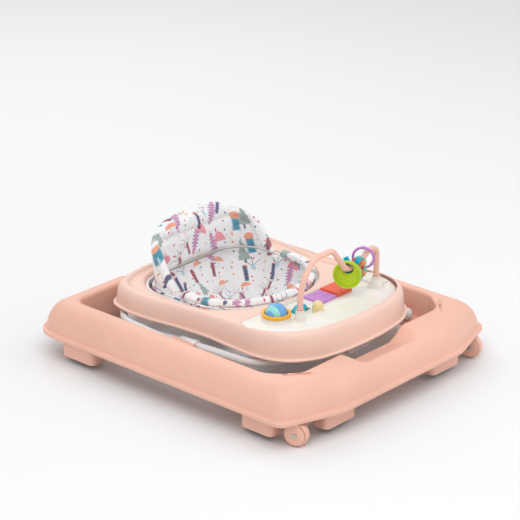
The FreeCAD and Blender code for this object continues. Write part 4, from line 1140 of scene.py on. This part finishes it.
# ---------------------------------------------------------------- bead arch
# A bent plastic bar plugs into the panel's two bosses and carries hanging toys that swing and slide: a dished
# lime disc, a clear disc, two crosses, a drop, a leaf and a slim ring with knobs.
BAR_PEACH = (0.88, 0.52, 0.42)
bar_plastic = moulded("bead_bar", BAR_PEACH, roughness=0.3, grain=1100.0, relief=0.04)
finished("arch_bar", bar_plastic, smooth_angle=50)
finished("arch_collars", cream, edge=0.0012)


def clear_plastic(name, colour, clearness, roughness=0.12):
    """Clear or tinted moulded plastic with a faint flow pattern."""
    material = moulded(name, colour, roughness=roughness, grain=900.0, relief=0.04, tone=0.08)
    material.node_tree.nodes["Principled BSDF"].inputs["Transmission Weight"].default_value = clearness
    return material


for node, slot, colour, clearness in (
        ("lime_disc", "lime", (0.60, 0.80, 0.0), 0.25),
        ("clear_disc", "clear_white", (0.85, 0.95, 0.95), 0.85),
        ("blue_cross", "cyan", (0.0, 0.50, 0.78), 0.0), ("orange_cross", "orange", (0.95, 0.30, 0.08), 0.0),
        ("red_drop", "red", (0.66, 0.01, 0.01), 0.0), ("mint_leaf", "mint", (0.30, 0.66, 0.50), 0.0),
        ("purple_ring", "purple", (0.55, 0.22, 0.60), 0.0)):
    toy = clear_plastic(node + "_plastic", colour, clearness) if clearness else moulded(
        node + "_plastic", colour, roughness=0.25, grain=1100.0, relief=0.04)
    finished(node, toy, edge=0.0 if node == "purple_ring" else 0.0010, smooth_angle=60)

# ---------------------------------------------------------------- floor, lights and camera
# A pale seamless floor, a large soft key from the upper left, a fill and a top light, and a long-lens camera.
FLOOR_HALF = 30
FLOOR_DROP = 0.0002
floor_material = blank_material("studio_floor", (0.87, 0.87, 0.87), 0.9)[0]
floor_corners = [(x * FLOOR_HALF, y * FLOOR_HALF, -FLOOR_DROP)
                 for x, y in ((-1, -1), (1, -1), (1, 1), (-1, 1))]
floor = new_piece("studio_floor", floor_corners, [(0, 1, 2, 3)], floor_material)
LOOK_AT = Vector((0.1859, 0.1854, 0.100))
TOWARDS_CAMERA = Vector((-0.6874, -0.6212, 0.3762))
CAMERA_DISTANCE = 4.6927
camera_data = bpy.data.cameras.new("camera")
camera_data.lens = 152.3
camera_data.sensor_width = 36
camera = bpy.data.objects.new("camera", camera_data)
bpy.context.scene.collection.objects.link(camera)
camera.location = LOOK_AT + TOWARDS_CAMERA * CAMERA_DISTANCE
camera.rotation_euler = (-TOWARDS_CAMERA).to_track_quat("-Z", "Y").to_euler()
bpy.context.scene.camera = camera
for name, place, size, power in (("key", (-1.2, -1.0, 2.6), 2.4, 33), ("fill", (1.8, -1.6, 1.6), 2.2, 13),
                                 ("back", (0.8, 2.0, 2.2), 2.2, 19)):
    light_data = bpy.data.lights.new(name, "AREA")
    light_data.size = size
    light_data.energy = power
    light = bpy.data.objects.new(name, light_data)
    light.location = place
    light.rotation_euler = (Vector((0, 0, 0.1)) - Vector(place)).to_track_quat("-Z", "Y").to_euler()
    bpy.context.scene.collection.objects.link(light)
world = bpy.data.worlds.new("studio")
world.use_nodes = True
world.node_tree.nodes["Background"].inputs["Color"].default_value = (0.95, 0.96, 0.97, 1)
world.node_tree.nodes["Background"].inputs["Strength"].default_value = 0.70
bpy.context.scene.world = world
bpy.context.scene.view_settings.view_transform = "Standard"
